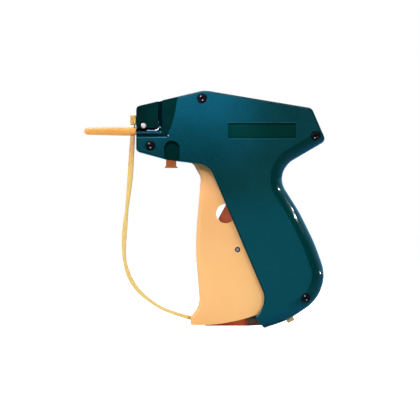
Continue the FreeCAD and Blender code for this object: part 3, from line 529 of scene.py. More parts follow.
class Finish(Enum):
    """Finishes of the object's pieces."""

    SHELL = ShellPlastic()
    NOSE = Plastic("nose_dark", (0, 31, 27), (0, 26, 22), 0.34, edge_share=0.2, edge_color=(30, 90, 90),
                   speck_share=0.0, specular=0.05)
    # The trigger's top is painted darker as the shade under the housing.
    TRIGGER = Plastic("trigger_cream", (240, 181, 116), (237, 176, 110), 0.4, mottle_mm=30.0, soft_light=0.06,
                      painted_shade_z_mm=(72.0, 91.0), painted_shade_color=(146, 118, 66))
    TERRACOTTA = Plastic("terracotta", (224, 110, 66), (216, 102, 58), 0.38, edge_color=(230, 150, 100))
    BUTTON = Plastic("button_orange", (204, 114, 54), (194, 102, 46), 0.34, edge_color=(236, 160, 110))
    TONGUE = Plastic("tongue_brown", (224, 92, 28), (194, 70, 14), 0.45)
    # The toe cheeks turn near black at their top as painted shade in the toe's mouth.
    CHEEK = Plastic("toe_grey", (80, 48, 34), (66, 38, 26), 0.5, mottle_mm=3.0,
                    painted_shade_z_mm=(4.4, 5.8), painted_shade_color=(6, 8, 8))
    CAP = Plastic("cap_yellow", (232, 166, 80), (230, 162, 76), 0.2, 0.0, 0.5, 0.0, mottle_mm=30.0,
                  edge_share=0.0, speck_share=0.0, specular=0.7)
    # The strap's upper part is painted darker as the shade under the cap.
    STRAP = Plastic("strap_yellow", (228, 196, 118), (225, 191, 111), 0.32, 0.0, 0.6, 0.001, mottle_mm=30.0,
                    edge_share=0.0, specular=0.5, painted_shade_z_mm=(84.0, 106.0), painted_shade_color=(200, 156, 96))
    TAB = Plastic("tab_ochre", (193, 162, 84), (181, 150, 70), 0.35, 0.0, 0.6, 0.002, mottle_mm=3.0,
                  edge_share=0.0)
    PAD = Plastic("pad_tan", (216, 186, 126), (198, 166, 104), 0.6, mottle_mm=3.0)
    # Painted highlights of the beads along lips and arrises.
    LIP = polished("lip_painted_highlight", (120, 168, 180), (96, 146, 160), 0.12, 0.9)
    ARRIS = polished("arris_painted_highlight", (20, 92, 106), (14, 80, 94), 0.2, 0.6)
    # Painted light on the rib's face.
    RIB = polished("rib_painted_light", (5, 52, 66), (4, 44, 56), 0.4, 0.1)
    # Painted shadow line under the name recess's top edge.
    SHADOW_LINE = polished("painted_shadow_line", (0, 20, 22), (0, 14, 16), 0.6, 0.05)
    # Painted glints: bright studs on the screws, the corners and the slot ramp.
    GLINT = polished("painted_glint", (224, 236, 240), (208, 224, 230), 0.2, 0.8)
    # Dark grey painted on the feed wheel and pawl as the shade inside the nose's slots.
    WHEEL = Plastic("wheel_painted_shade", (40, 42, 40), (30, 32, 31), 0.45)
    INNER = Plastic("inner_white", (222, 219, 206), (214, 210, 197), 0.4)
    # The head's paler edges are partly wear and partly a painted highlight along the rims of the cross.
    SCREW = Metal("screw_black", (5, 4, 8), (1, 1, 3), 0.42, metallic=0.1, edge_color=(64, 46, 52),
                  edge_share=0.7)
    BLUED = Metal("blued_steel", (40, 42, 48), (24, 26, 32), 0.35)
    PIN_EDGE = Metal("pin_edge", (44, 36, 40), (30, 26, 30), 0.4, metallic=0.6)
    PIN_FACE = Metal("pin_face", (158, 158, 176), (140, 140, 158), 0.35, metallic=0.3)
    STEEL = Metal("pin_steel", (176, 178, 184), (150, 152, 160), 0.28)
    RIVET = Metal("rivet_bright", (206, 202, 188), (196, 184, 172), 0.32, metallic=0.35)


class Paint:
    """Makes each finish once and gives it to pieces."""

    def __init__(self) -> None:
        """Start with no material made."""
        self.made: dict[Finish, bpy.types.Material] = {}

    def material(self, finish: Finish) -> bpy.types.Material:
        """Find the material of a finish, which is made at its first use.

        Args:
            finish: the finish.

        Returns:
            Its material.
        """
        if finish not in self.made:
            self.made[finish] = finish.value.material()
        return self.made[finish]

    def dress(self, piece: Piece, finish: Finish) -> None:
        """Give every slot of a piece one finish.

        Args:
            piece: a mesh of the frame or of the scene.
            finish: the finish it takes.
        """
        if not piece.material_slots:
            piece.data.materials.append(self.material(finish))
        for held in piece.material_slots:
            held.material = self.material(finish)

    def settle(self, piece: Piece, finish: Finish, body: str = "root",
               node: str | None = None) -> None:
        """Dress a piece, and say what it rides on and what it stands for.

        Args:
            piece: a mesh of the scene.
            finish: the finish it takes.
            body: the body that it moves with.
            node: the CAD node that it replaces, if any.
        """
        self.dress(piece, finish)
        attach(piece, body)
        if node is not None:
            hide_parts(node)


FRAME_PIECES: dict[Finish, tuple[str, ...]] = {
    Finish.SHELL: ("left_shell", "right_shell"),
    Finish.TRIGGER: ("trigger",),
    Finish.STEEL: ("trigger_pivot_pin", "lever_pivot_pin", "spring_anchor", "slide_pin", "ejector_rod",
                   "lock_pin", "needle"),
    Finish.TONGUE: ("trigger_guide",),
    Finish.PAD: ("guide_pad",),
    Finish.CHEEK: ("left_toe_cheek", "right_toe_cheek"),
    Finish.TERRACOTTA: ("drive_lever", "needle_lock"),
    Finish.INNER: ("slide", "rod_guide"),
    # The needle hub takes the dark nose finish, and the feed wheel and pawl a dark grey, as painted shade
    # seen through the nose's slots.
    Finish.NOSE: ("nose_plate", "nose_back_plate", "needle_hub"),
    Finish.WHEEL: ("feed_wheel", "feed_pawl"),
    Finish.BLUED: ("feed_shaft", "holding_leaf", "cutter_blade"),
    Finish.BUTTON: ("release_button",),
}


@dataclass(frozen=True)
class Places:
    """Places in the side view that several pieces share, in millimetres."""

    needle_z: float = 109.8
    shell_half: float = 12.5
    screws: tuple[Pair, ...] = ((-30.1, 101.5), (-1.3, 127.9), (62.1, 107.0), (56.8, 16.6))
    screw_turns: tuple[float, ...] = (8.0, 40.0, 62.0, 27.0)
    link: Pair = (18.6, 43.6)
    lock: Pair = (-33.9, 112.8)
    spring_eye: Pair = (28.56, 87.02)
    spring_post: Pair = (46.5, 98.5)


PLACES = Places()


def at(place: Pair) -> Vector:
    """Point of the middle plane at an (x, z) place."""
    return Vector((place[0], 0.0, place[1]))


def sweep(angle: float, steps: int, first: int = 0, last: int | None = None) -> list[float]:
    """Angles from step first to step last of an angle that is cut into equal steps."""
    return [angle * step / steps for step in range(first, (steps if last is None else last) + 1)]


def smooth_path(points: Sequence[Sequence[float]], steps: int) -> list[Vector]:
    """Draw a Catmull-Rom curve through points.

    Args:
        points: rows of three numbers, of which the curve passes through each.
        steps: places between two points.

    Returns:
        The places along the curve.
    """
    rows = [Vector(point) for point in points]
    rows = [rows[0] * 2.0 - rows[1]] + rows + [rows[-1] * 2.0 - rows[-2]]
    path = []
    for index in range(1, len(rows) - 2):
        before, start, end, after = rows[index - 1:index + 3]
        for step in range(steps):
            t = step / steps
            path.append(0.5 * (2.0 * start + (end - before) * t
                               + (2.0 * before - 5.0 * start + 4.0 * end - after) * t ** 2
                               + (3.0 * start - before - 3.0 * end + after) * t ** 3))
    return path + [rows[-2]]


def mesh_object(name: str, points: Sequence[Vector], faces: Sequence[Sequence[int]]) -> Piece:
    """Make an object from points.

    Args:
        name: the object's name.
        points: places in millimetres.
        faces: rows of point numbers.

    Returns:
        The new object, linked to the scene.
    """
    mesh = bpy.data.meshes.new(name)
    mesh.from_pydata([tuple(point * MM) for point in points], [], [tuple(face) for face in faces])
    mesh.validate()
    build = bmesh.new()
    build.from_mesh(mesh)
    bmesh.ops.recalc_face_normals(build, faces=build.faces)
    build.to_mesh(mesh)
    build.free()
    mesh.polygons.foreach_set("use_smooth", [True] * len(mesh.polygons))
    mesh.set_sharp_from_angle(angle=math.radians(SHARP_DEGREES))
    made = bpy.data.objects.new(name, mesh)
    bpy.context.scene.collection.objects.link(made)
    return made


def bands(rows: int, count: int, closed: bool = False) -> list[tuple[int, ...]]:
    """List the faces between rows of points that each go round once.

    Args:
        rows: how many rows there are.
        count: how many points each row has.
        closed: whether the last row joins the first one.

    Returns:
        The point numbers of each face.
    """
    faces = []
    for row in range(rows if closed else rows - 1):
        upper = (row + 1) % rows
        for column in range(count):
            following = (column + 1) % count
            faces.append((row * count + column, row * count + following,
                          upper * count + following, upper * count + column))
    return faces


def loft(name: str, rings: Sequence[Sequence[Vector]]) -> Piece:
    """Stretch a closed skin over rings, with flat ends.

    Args:
        name: the object's name.
        rings: rows of places in millimetres, with the same number in each.

    Returns:
        The new object.
    """
    count = len(rings[0])
    first, last = range(count), range((len(rings) - 1) * count, len(rings) * count)
    faces = bands(len(rings), count) + [tuple(first)[::-1], tuple(last)]
    return mesh_object(name, [point for ring in rings for point in ring], faces)


def tube(name: str, path: Sequence[Vector], radius: float, sides: int = 12) -> Piece:
    """Make a round wire along a path; its rings are carried along, so that it doesn't twist.

    Args:
        name: the object's name.
        path: places in millimetres.
        radius: the wire's radius in millimetres.
        sides: faces round it.

    Returns:
        The new object.
    """
    rings = []
    normal = None
    for index, point in enumerate(path):
        along = (path[min(index + 1, len(path) - 1)] - path[max(index - 1, 0)]).normalized()
        if normal is None:
            normal = along.orthogonal().normalized()
        normal = (normal - along * normal.dot(along)).normalized()
        side = along.cross(normal)
        rings.append([point + (normal * math.cos(turn) + side * math.sin(turn)) * radius
                      for turn in sweep(math.tau, sides, last=sides - 1)])
    return loft(name, rings)


def helix(start: Vector, end: Vector, radius: float, turns: float, across: Vector) -> list[Vector]:
    """Wind a coil round a line; all its sizes are in millimetres.

    Args:
        start: the line's start.
        end: the line's end.
        radius: the coil's middle radius.
        turns: how often it goes round.
        across: the side that it starts on.

    Returns:
        The places along the coil.
    """
    along = (end - start).normalized()
    first = (across - along * across.dot(along)).normalized()
    second = along.cross(first)
    count = int(turns * COIL_STEPS)
    path = []
    for index in range(count + 1):
        share = index / count
        turn = math.tau * turns * share
        path.append(start.lerp(end, share) + (first * math.cos(turn) + second * math.sin(turn)) * radius)
    return path


def lathe(name: str, profile: Sequence[Pair], origin: Vector, upright: bool = False,
          sides: int = 48, closed: bool = False) -> Piece:
    """Turn a form about a line through a point, along X or, if upright, along Y.

    Args:
        name: the object's name.
        profile: (place along the line, radius) pairs in millimetres.
        origin: a point of the line.
        upright: whether it stands on the side view, along Y.
        sides: faces round it.
        closed: whether the profile's last point joins its first one, as on a ring.

    Returns:
        The new object.
    """
    points = []
    for along, radius in profile:
        for turn in sweep(math.tau, sides, last=sides - 1):
            out = Vector((radius * math.cos(turn), along, radius * math.sin(turn)))
            points.append(origin + (out if upright else out.yxz))
    return mesh_object(name, points, bands(len(profile), sides, closed))


def stud(name: str, center: Vector, radius: float) -> Piece:
    """Make a small round spot on the side view.

    Args:
        name: the object's name.
        center: its middle, in millimetres.
        radius: its radius in millimetres.

    Returns:
        The new object.
    """
    profile = [(-radius * math.cos(turn), max(radius * math.sin(turn), AXIS_RADIUS))
               for turn in sweep(math.pi, STUD_STEPS)]
    return lathe(name, profile, center, upright=True, sides=STUD_SIDES)


def carve(body: Piece, cutter: Piece) -> None:
    """Cut one object's form out of another and drop the cutter.

    Args:
        body: the object that is cut; its mesh is replaced.
        cutter: the form that is taken away.
    """
    step = body.modifiers.new("carve", "BOOLEAN")
    step.operation = "DIFFERENCE"
    step.solver = "EXACT"
    step.object = cutter
    shaped = bpy.data.meshes.new_from_object(body.evaluated_get(bpy.context.evaluated_depsgraph_get()))
    body.modifiers.clear()
    body.data = shaped
    shaped.set_sharp_from_angle(angle=math.radians(SHARP_DEGREES))
    bpy.data.objects.remove(cutter, do_unlink=True)


@dataclass(frozen=True)
class CapStrap:
    """Moulded strap from the eye inside the cap's skirt to the trigger's toe, with its tab."""

    half_width: float = 3.0
    edge: float = 0.55
    edge_gap: float = 0.05
    edge_steps: int = 4
    route_steps: int = 8
    route: tuple[Triple, ...] = (
        (-40.1, 107.1, 2.6), (-40.9, 94.5, 3.0), (-41.5, 84.5, 3.0), (-42.4, 75.5, 2.6), (-43.4, 66.0, 1.9),
        (-44.5, 55.4, 2.7), (-45.0, 46.0, 2.3), (-44.7, 38.8, 1.8), (-43.2, 31.9, 2.3), (-40.2, 25.1, 2.4),
        (-34.8, 18.5, 2.1), (-25.2, 11.5, 1.7), (-16.5, 7.9, 1.95), (-8.1, 5.4, 2.3))
    tongue_end: Triple = (-4.7, 5.4, 1.7)
    tongue_half: float = 1.5
    eye_x: Pair = (-41.3, -38.9)
    eye_radii: Pair = (1.5, 1.9)
    tab_x: Pair = (-41.4, -38.15)
    tab_z: Pair = (113.3, 118.7)
    neck_half: float = 1.15
    neck_x: Pair = (-39.45, -38.6)
    neck_sunk: float = 0.4
    root_depth: float = 1.0
    bend_from: int = 3
    block_round: float = 0.3
    block_end: float = 0.9

    def section(self, half: float, thick: float) -> list[Pair]:
        """Round off a cross-section.

        Args:
            half: half its width across.
            thick: its thickness.

        Returns:
            Its places as (across, out) pairs.
        """
        edge = min(self.edge, thick / 2.0 - self.edge_gap)
        corners = ((half - edge, thick / 2.0 - edge), (edge - half, thick / 2.0 - edge),
                   (edge - half, edge - thick / 2.0), (half - edge, edge - thick / 2.0))
        rows = []
        for index, (across, out) in enumerate(corners):
            for step in range(self.edge_steps + 1):
                turn = math.pi / 2.0 * (index + step / self.edge_steps)
                rows.append((across + edge * math.cos(turn), out + edge * math.sin(turn)))
        return rows

    def build(self, paint: Paint) -> None:
        """Make the strap, and the eye with its tab, which ride on the frame.

        Args:
            paint: what dresses it.
        """
        path = smooth_path(self.route, self.route_steps) + [Vector(self.tongue_end)]
        rings = []
        for index, place in enumerate(path):
            along = Vector(path[min(index + 1, len(path) - 1)][:2]) - Vector(path[max(index - 1, 0)][:2])
            along.normalize()
            half = self.half_width if index < len(path) - 2 else self.tongue_half
            rings.append([Vector((place[0] - along[1] * out, across, place[1] + along[0] * out))
                          for across, out in self.section(half, place[2])])
        strap = loft("strap_band", rings)
        paint.dress(strap, Finish.STRAP)
        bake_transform(strap)
        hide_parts("cap_strap")
        inner, outer = self.eye_radii
        top, low = PLACES.needle_z + inner, PLACES.needle_z - inner
        self.block("strap_tab", self.tab_x, self.half_width, self.tab_z, Finish.TAB, paint)
        neck_z = (top, self.tab_z[0] + self.neck_sunk)
        self.block("strap_neck", self.neck_x, self.neck_half, neck_z, Finish.STRAP, paint)
        root_z = (self.route[0][1] - self.root_depth, low)
        self.block("strap_root", self.eye_x, self.neck_half, root_z, Finish.STRAP, paint)
        front, back = self.eye_x
        eye = lathe("strap_eye", [(front, inner), (front, outer), (back, outer), (back, inner)],
                    at((0.0, PLACES.needle_z)), closed=True)
        paint.settle(eye, Finish.STRAP)
        log.info("cap strap built over %d rings", len(rings))

    def block(self, name: str, x: Pair, half: float, z: Pair, finish: Finish,
              paint: Paint) -> None:
        """Rounded block of the strap's fixed end.

        Args:
            name: the block's name.
            x: its low and high place along the needle.
            half: half its width across.
            z: its low and high place in height.
            finish: the finish it takes.
            paint: what dresses it.
        """
        rows = self.section(half, x[1] - x[0])
        middle = (x[0] + x[1]) / 2.0
        round_off = min(self.block_round, (z[1] - z[0]) / 4.0)
        end = self.block_end
        levels = ((z[0], end), (z[0] + round_off, 1.0), (z[1] - round_off, 1.0), (z[1], end))
        rings = [[Vector((middle + out * share, across * share, height)) for across, out in rows]
                 for height, share in levels]
        paint.settle(loft(name, rings), finish)


@dataclass(frozen=True)
class NeedleCap:
    """Slim sleeve over the needle, a little fuller at the middle, with a slotted skirt."""

    tip_x: float = -67.3
    back_x: float = -38.2
    skirt_x: float = -41.4
    tip_radius: float = 1.95
    back_radius: float = 2.5
    fullness: float = 0.12
    edge_round: float = 0.25
    bore_radius: float = 1.6
    bore_end_x: float = -61.5
    skirt_bore: float = 2.0
    slot_half: float = 1.2
    cut_margin: float = 1.0
    steps: int = 10
    edge_steps: int = 4

    def outline(self) -> list[Pair]:
        """Draw the half section.

        Returns:
            Its places as (x, radius) pairs, from the tip round to the bore's end.
        """
        tip = self.tip_radius
        center = self.tip_x + tip
        rows = [(center - tip * math.cos(turn), max(tip * math.sin(turn), AXIS_RADIUS))
                for turn in sweep(math.pi / 2.0, self.steps, last=self.steps - 1)]
        length = self.back_x - self.edge_round - center
        for step in range(self.steps + 1):
            share = step / self.steps
            radius = tip + (self.back_radius - tip) * share
            rows.append((center + length * share, radius + self.fullness * math.sin(math.pi * share)))
        rows += [(self.back_x - self.edge_round * (1.0 - math.sin(turn)),
                  self.back_radius - self.edge_round * (1.0 - math.cos(turn)))
                 for turn in sweep(math.pi / 2.0, self.edge_steps, first=1)]
        return rows + [(self.back_x, self.skirt_bore), (self.skirt_x, self.skirt_bore),
                       (self.skirt_x, self.bore_radius), (self.bore_end_x, self.bore_radius),
                       (self.bore_end_x, AXIS_RADIUS)]

    def build(self, paint: Paint) -> None:
        """Turn the sleeve and cut its two slots.

        Args:
            paint: what dresses it.
        """
        cap = lathe("needle_cap_turned", self.outline(), at((0.0, PLACES.needle_z)), sides=64)
        half = self.slot_half
        reach = self.back_radius + self.cut_margin
        rings = [[Vector((x, across, PLACES.needle_z + up)) for across, up in
                  ((half, reach), (-half, reach), (-half, -reach), (half, -reach))]
                 for x in (self.skirt_x, self.back_x + self.cut_margin)]
        carve(cap, loft("skirt_cutter", rings))
        paint.settle(cap, Finish.CAP, "needle_cap", "needle_cap")
        log.info("needle cap built, %.1f mm long", self.back_x - self.tip_x)


@dataclass(frozen=True)
class ReturnSpring:
    """Tension spring from the lever's eye to the post at the back of the neck."""

    wire: float = 0.8
    coil: float = 5.0
    turns: int = 9
    pitch: float = 1.02
    eye_radius: float = 4.5
    eye_steps: tuple[int, int] = (40, 37)
    hook_radius: float = 2.25
    hook_steps: tuple[int, int] = (30, 27)

    def build(self, paint: Paint) -> None:
        """Make the coil, with a round hook at each end, as one wire.

        Args:
            paint: what dresses it.
        """
        start, end = at(PLACES.spring_eye), at(PLACES.spring_post)
        along = (end - start).normalized()
        up = along.cross(Vector((0.0, 1.0, 0.0)))
        ring = (self.coil - self.wire) / 2.0
        length = self.wire * self.pitch * self.turns
        eye = self.eye_radius
        room = (end - start).length - 2.0 * eye - self.hook_radius
        first = start + along * (2.0 * eye + (room - length) / 2.0)
        last = first + along * length
        low = [start + along * eye + (along * math.cos(turn) + up * math.sin(turn)) * eye
               for turn in sweep(math.tau, self.eye_steps[0], 1, self.eye_steps[1])[::-1]]
        high = [end + (up * math.sin(turn) - along * math.cos(turn)) * self.hook_radius
                for turn in sweep(math.tau, self.hook_steps[0], 1, self.hook_steps[1])]
        coil = helix(first, last, ring, self.turns, up)
        path = low + [first - along * self.wire] + coil + [last + along * self.wire] + high
        spring = tube("return_spring_wire", path, self.wire / 2.0)
        paint.dress(spring, Finish.STEEL)
        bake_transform(spring)
        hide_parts("return_spring")
        log.info("return spring built over %d places", len(path))


@dataclass(frozen=True)
class ButtonSpring:
    """Compression spring over the release button."""

    x: float = -18.55
    low_z: float = 101.0
    high_z: float = 106.8
    radius: float = 2.0
    wire: float = 0.5
    turns: float = 4.0
    travel: float = 2.0

    def build(self, paint: Paint) -> None:
        """Make the coil over the button, riding on the frame.

        Args:
            paint: what dresses it.
        """
        start, end = at((self.x, self.low_z + self.wire / 2.0)), at((self.x, self.high_z - self.wire / 2.0))
        path = helix(start, end, self.radius, self.turns, Vector((1.0, 0.0, 0.0)))
        spring = tube("button_spring_wire", path, self.wire / 2.0)
        paint.dress(spring, Finish.STEEL)
        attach(spring, "root")
        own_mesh(spring)
        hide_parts("button_spring")
        log.info("button spring built with %.1f turns", self.turns)


@dataclass(frozen=True)
class LinkPin:
    """Pin across the trigger, with a bright end inside a dark peened rim on each side."""

    shaft_radius: float = 0.9
    rim_radius: float = 1.5
    rim: float = 0.12
    rim_edge: float = 0.15
    rim_seat: float = 0.02
    dish: float = 0.05
    half_length: float = 7.0
    end_gap: float = 0.04
    end_reach: Pair = (-0.3, 0.08)

    def build(self, paint: Paint) -> None:
        """Make the shaft with its rims as one turned form, and the two bright ends.

        Args:
            paint: what dresses it.
        """
        origin = at(PLACES.link)
        half = self.half_length
        side = [(half + self.dish, self.shaft_radius), (half + self.rim, self.shaft_radius + self.rim),
                (half + self.rim, self.rim_radius - self.rim_edge), (half + self.rim_seat, self.rim_radius),
                (half, self.shaft_radius)]
        left = [(-along, radius) for along, radius in side]
        body = [(left[0][0], AXIS_RADIUS)] + left + side[::-1] + [(side[0][0], AXIS_RADIUS)]
        forms = [("link_pin", body, Finish.PIN_EDGE)]
        low, high = (half + reach for reach in self.end_reach)
        radius = self.shaft_radius - self.end_gap
        for name, way in (("link_end_left", -1.0), ("link_end_right", 1.0)):
            rows = ((low, AXIS_RADIUS), (low, radius), (high, radius), (high, AXIS_RADIUS))
            forms.append((name, [(way * along, across) for along, across in rows], Finish.PIN_FACE))
        for name, profile, finish in forms:
            pin = lathe(name, profile, origin, upright=True)
            paint.settle(pin, finish, "trigger", "trigger_link_pin")
        log.info("link pin built, %.1f mm long", 2.0 * half)


@dataclass(frozen=True)
class NoseRivet:
    """Bright domed rivet of the nose plate."""

    radius: float = 1.42
    top: float = -9.8
    bottom: float = -3.4
    dome: float = 0.5
    dome_steps: int = 8

    def build(self, paint: Paint) -> None:
        """Make the rivet as one turned form.

        Args:
            paint: what dresses it.
        """
        arc = [(self.top + self.dome * (1.0 - math.cos(turn)), self.radius * math.sin(turn))
               for turn in sweep(math.pi / 2.0, self.dome_steps, first=1)]
        profile = [(self.top, AXIS_RADIUS)] + arc + [(self.bottom, self.radius), (self.bottom, AXIS_RADIUS)]
        rivet = lathe("nose_rivet_turned", profile, at(PLACES.lock), upright=True)
        paint.settle(rivet, Finish.RIVET, node="nose_rivet")
        log.info("nose rivet built, radius %.1f mm", self.radius)


@dataclass(frozen=True)
class Bead:
    """Round bead on the left shell that carries painted light: a highlight along an arris or a lip, a glint,
    the rib's lit face, or a shadow line in a corner.
    """

    name: str
    finish: Finish
    depth: float
    radius: float
    route: tuple[Pair, ...]
    sides: int = 16
    steps: int = 6

    def build(self, paint: Paint) -> None:
        """Make the bead along its route of (x, z) places.

        Args:
            paint: what dresses it.
        """
        path = [Vector((x, self.depth, z)) for x, z in self.route]
        if len(path) > 2:
            path = smooth_path(path, self.steps)
        if len(path) > 1:
            bead = tube(self.name, path, self.radius, self.sides)
        else:
            bead = stud(self.name, path[0], self.radius)
        paint.settle(bead, self.finish)
        log.info("bead %s built over %d places", self.name, len(path))


# Beads of painted light: highlights along the slot's lip, the rib, the ledge and the name recess, glints at
# corners, the rib's lit face and a shadow line under the name recess's top edge.
BEADS = (
    Bead("slot_lip", Finish.LIP, -9.6, 0.24, ((-32.0, 109.95), (-29.5, 110.0), (-27.4, 110.0))),
    Bead("slot_lip_ramp", Finish.GLINT, -9.6, 0.22, ((-27.6, 109.98), (-26.5, 110.35), (-25.4, 111.2))),
    Bead("slot_lip_start", Finish.LIP, -9.65, 0.34, ((-31.7, 110.0),)),
    Bead("slot_lip_end", Finish.LIP, -9.6, 0.42, ((-24.6, 111.8),)),
    Bead("rib_face", Finish.RIB, -9.35, 0.5, ((-37.5, 108.45), (-24.1, 108.45))),
    Bead("rib_arris", Finish.ARRIS, -9.6, 0.26, ((-37.5, 109.1), (-25.0, 109.15))),
    Bead("rib_end", Finish.LIP, -9.55, 0.3, ((-24.5, 109.25),)),
    Bead("ledge_arris", Finish.ARRIS, -12.15, 0.3, ((-37.2, 106.05), (-21.0, 106.15))),
    Bead("ledge_corner", Finish.GLINT, -12.05, 0.4, ((-19.95, 107.15),)),
    Bead("apex_corner", Finish.GLINT, -11.7, 0.36, ((-0.6, 131.3),)),
    Bead("name_shade", Finish.SHADOW_LINE, -11.75, 0.34, ((13.7, 113.9), (50.7, 113.9))),
    Bead("name_rim_top", Finish.ARRIS, -12.4, 0.14, ((13.4, 114.32), (51.0, 114.32))),
    Bead("name_rim_low", Finish.ARRIS, -12.3, 0.2, ((13.4, 105.3), (51.0, 105.3))),
)


# Painted glints on a screw head: (x, z, radius) in millimetres from its middle.
GLINT_PAIR = ((-0.72, 1.22, 0.34), (0.2, -1.07, 0.3))


@dataclass(frozen=True)
class Screws:
    """Cross-head pan screws, each turned by its own angle, with painted glints as small bright studs in the
    cross.
    """

    head_radius: float = 2.6
    head_height: float = 1.7
    dome_height: float = 0.25
    dome_radius: float = 2.418
    dome_angle: float = 1.1
    dome_steps: int = 8
    rim_depth: float = 0.75
    sunk: float = 0.1
    shank_radius: float = 1.45
    length: float = 17.0
    cross_length: float = 3.3
    cross_width: float = 0.85
    cross_tip: float = 0.6
    cross_rings: tuple[Pair, ...] = ((-1.0, 1.15), (0.72, 0.9), (1.2, 0.35))
    glints: tuple[tuple[Triple, ...], ...] = (
        GLINT_PAIR, GLINT_PAIR, ((-0.43, -1.07, 0.32),), GLINT_PAIR)
    glint_depth: float = 0.3

    def cutter(self, place: Vector, degrees: float) -> Piece:
        """Make the tapered bar that cuts one arm of the cross.

        Args:
            place: the middle of the screw's top.
            degrees: how far the arm is turned.

        Returns:
            The bar.
        """
        turn = math.radians(degrees)
        way = Vector((math.cos(turn), 0.0, math.sin(turn)))
        side = Vector((-math.sin(turn), 0.0, math.cos(turn)))
        rings = []
        for depth, share in self.cross_rings:
            long = way * (self.cross_length / 2.0 * share)
            wide = side * (self.cross_width / 2.0 * (self.cross_tip + (1.0 - self.cross_tip) * share))
            middle = place + Vector((0.0, depth, 0.0))
            rings.append([middle + long + wide, middle - long + wide,
                          middle - long - wide, middle + long - wide])
        return loft("cross_cutter", rings)

    def profile(self) -> list[Pair]:
        """Draw the half section.

        Returns:
            Its places as (depth, radius) pairs, from the dome's top to the shank's end.
        """
        deep = self.dome_height / (1.0 - math.cos(self.dome_angle))
        wide = self.dome_radius / math.sin(self.dome_angle)
        rows = [((1.0 - math.cos(turn)) * deep, math.sin(turn) * wide)
                for turn in sweep(self.dome_angle, self.dome_steps, first=1)]
        return [(0.0, AXIS_RADIUS)] + rows + [
            (self.rim_depth, self.head_radius), (self.head_height, self.head_radius),
            (self.head_height, self.shank_radius), (self.length, self.shank_radius),
            (self.length, AXIS_RADIUS)]

    def build(self, paint: Paint) -> None:
        """Make the four screws in the place of the frame's plain ones.

        Args:
            paint: what dresses it.
        """
        screws = zip(PLACES.screws, PLACES.screw_turns, self.glints)
        for number, (place, degrees, glints) in enumerate(screws, start=1):
            center = at(place) + Vector((0.0, self.sunk - PLACES.shell_half, 0.0))
            screw = lathe(f"screw_{number}", self.profile(), center, upright=True)
            for cutter in (self.cutter(center, degrees), self.cutter(center, degrees + 90.0)):
                carve(screw, cutter)
            paint.settle(screw, Finish.SCREW, node="shell_screws")
            # Painted glints: small bright studs in the head.
            for side, (x, z, radius) in enumerate(glints, start=1):
                glint = stud(f"screw_{number}_burr_{side}", center + Vector((x, self.glint_depth, z)), radius)
                paint.settle(glint, Finish.GLINT)
            log.info("screw %d set at %.1f, %.1f", number, place[0], place[1])


@dataclass(frozen=True)
class Lamp:
    """Soft white lamp; places and sizes in metres, power in watts, spread in radians."""

    name: str
    place: Triple
    size: Pair
    power: float
    aim: Triple = MIDDLE
    spread: float = math.pi


@dataclass(frozen=True)
class Spot:
    """Tinted spot on one area of the housing; places in metres, full angle in radians, power in watts."""

    name: str
    place: Triple
    aim: Triple
    angle: float
    power: float
    color: Triple
    source_radius: float = 0.03


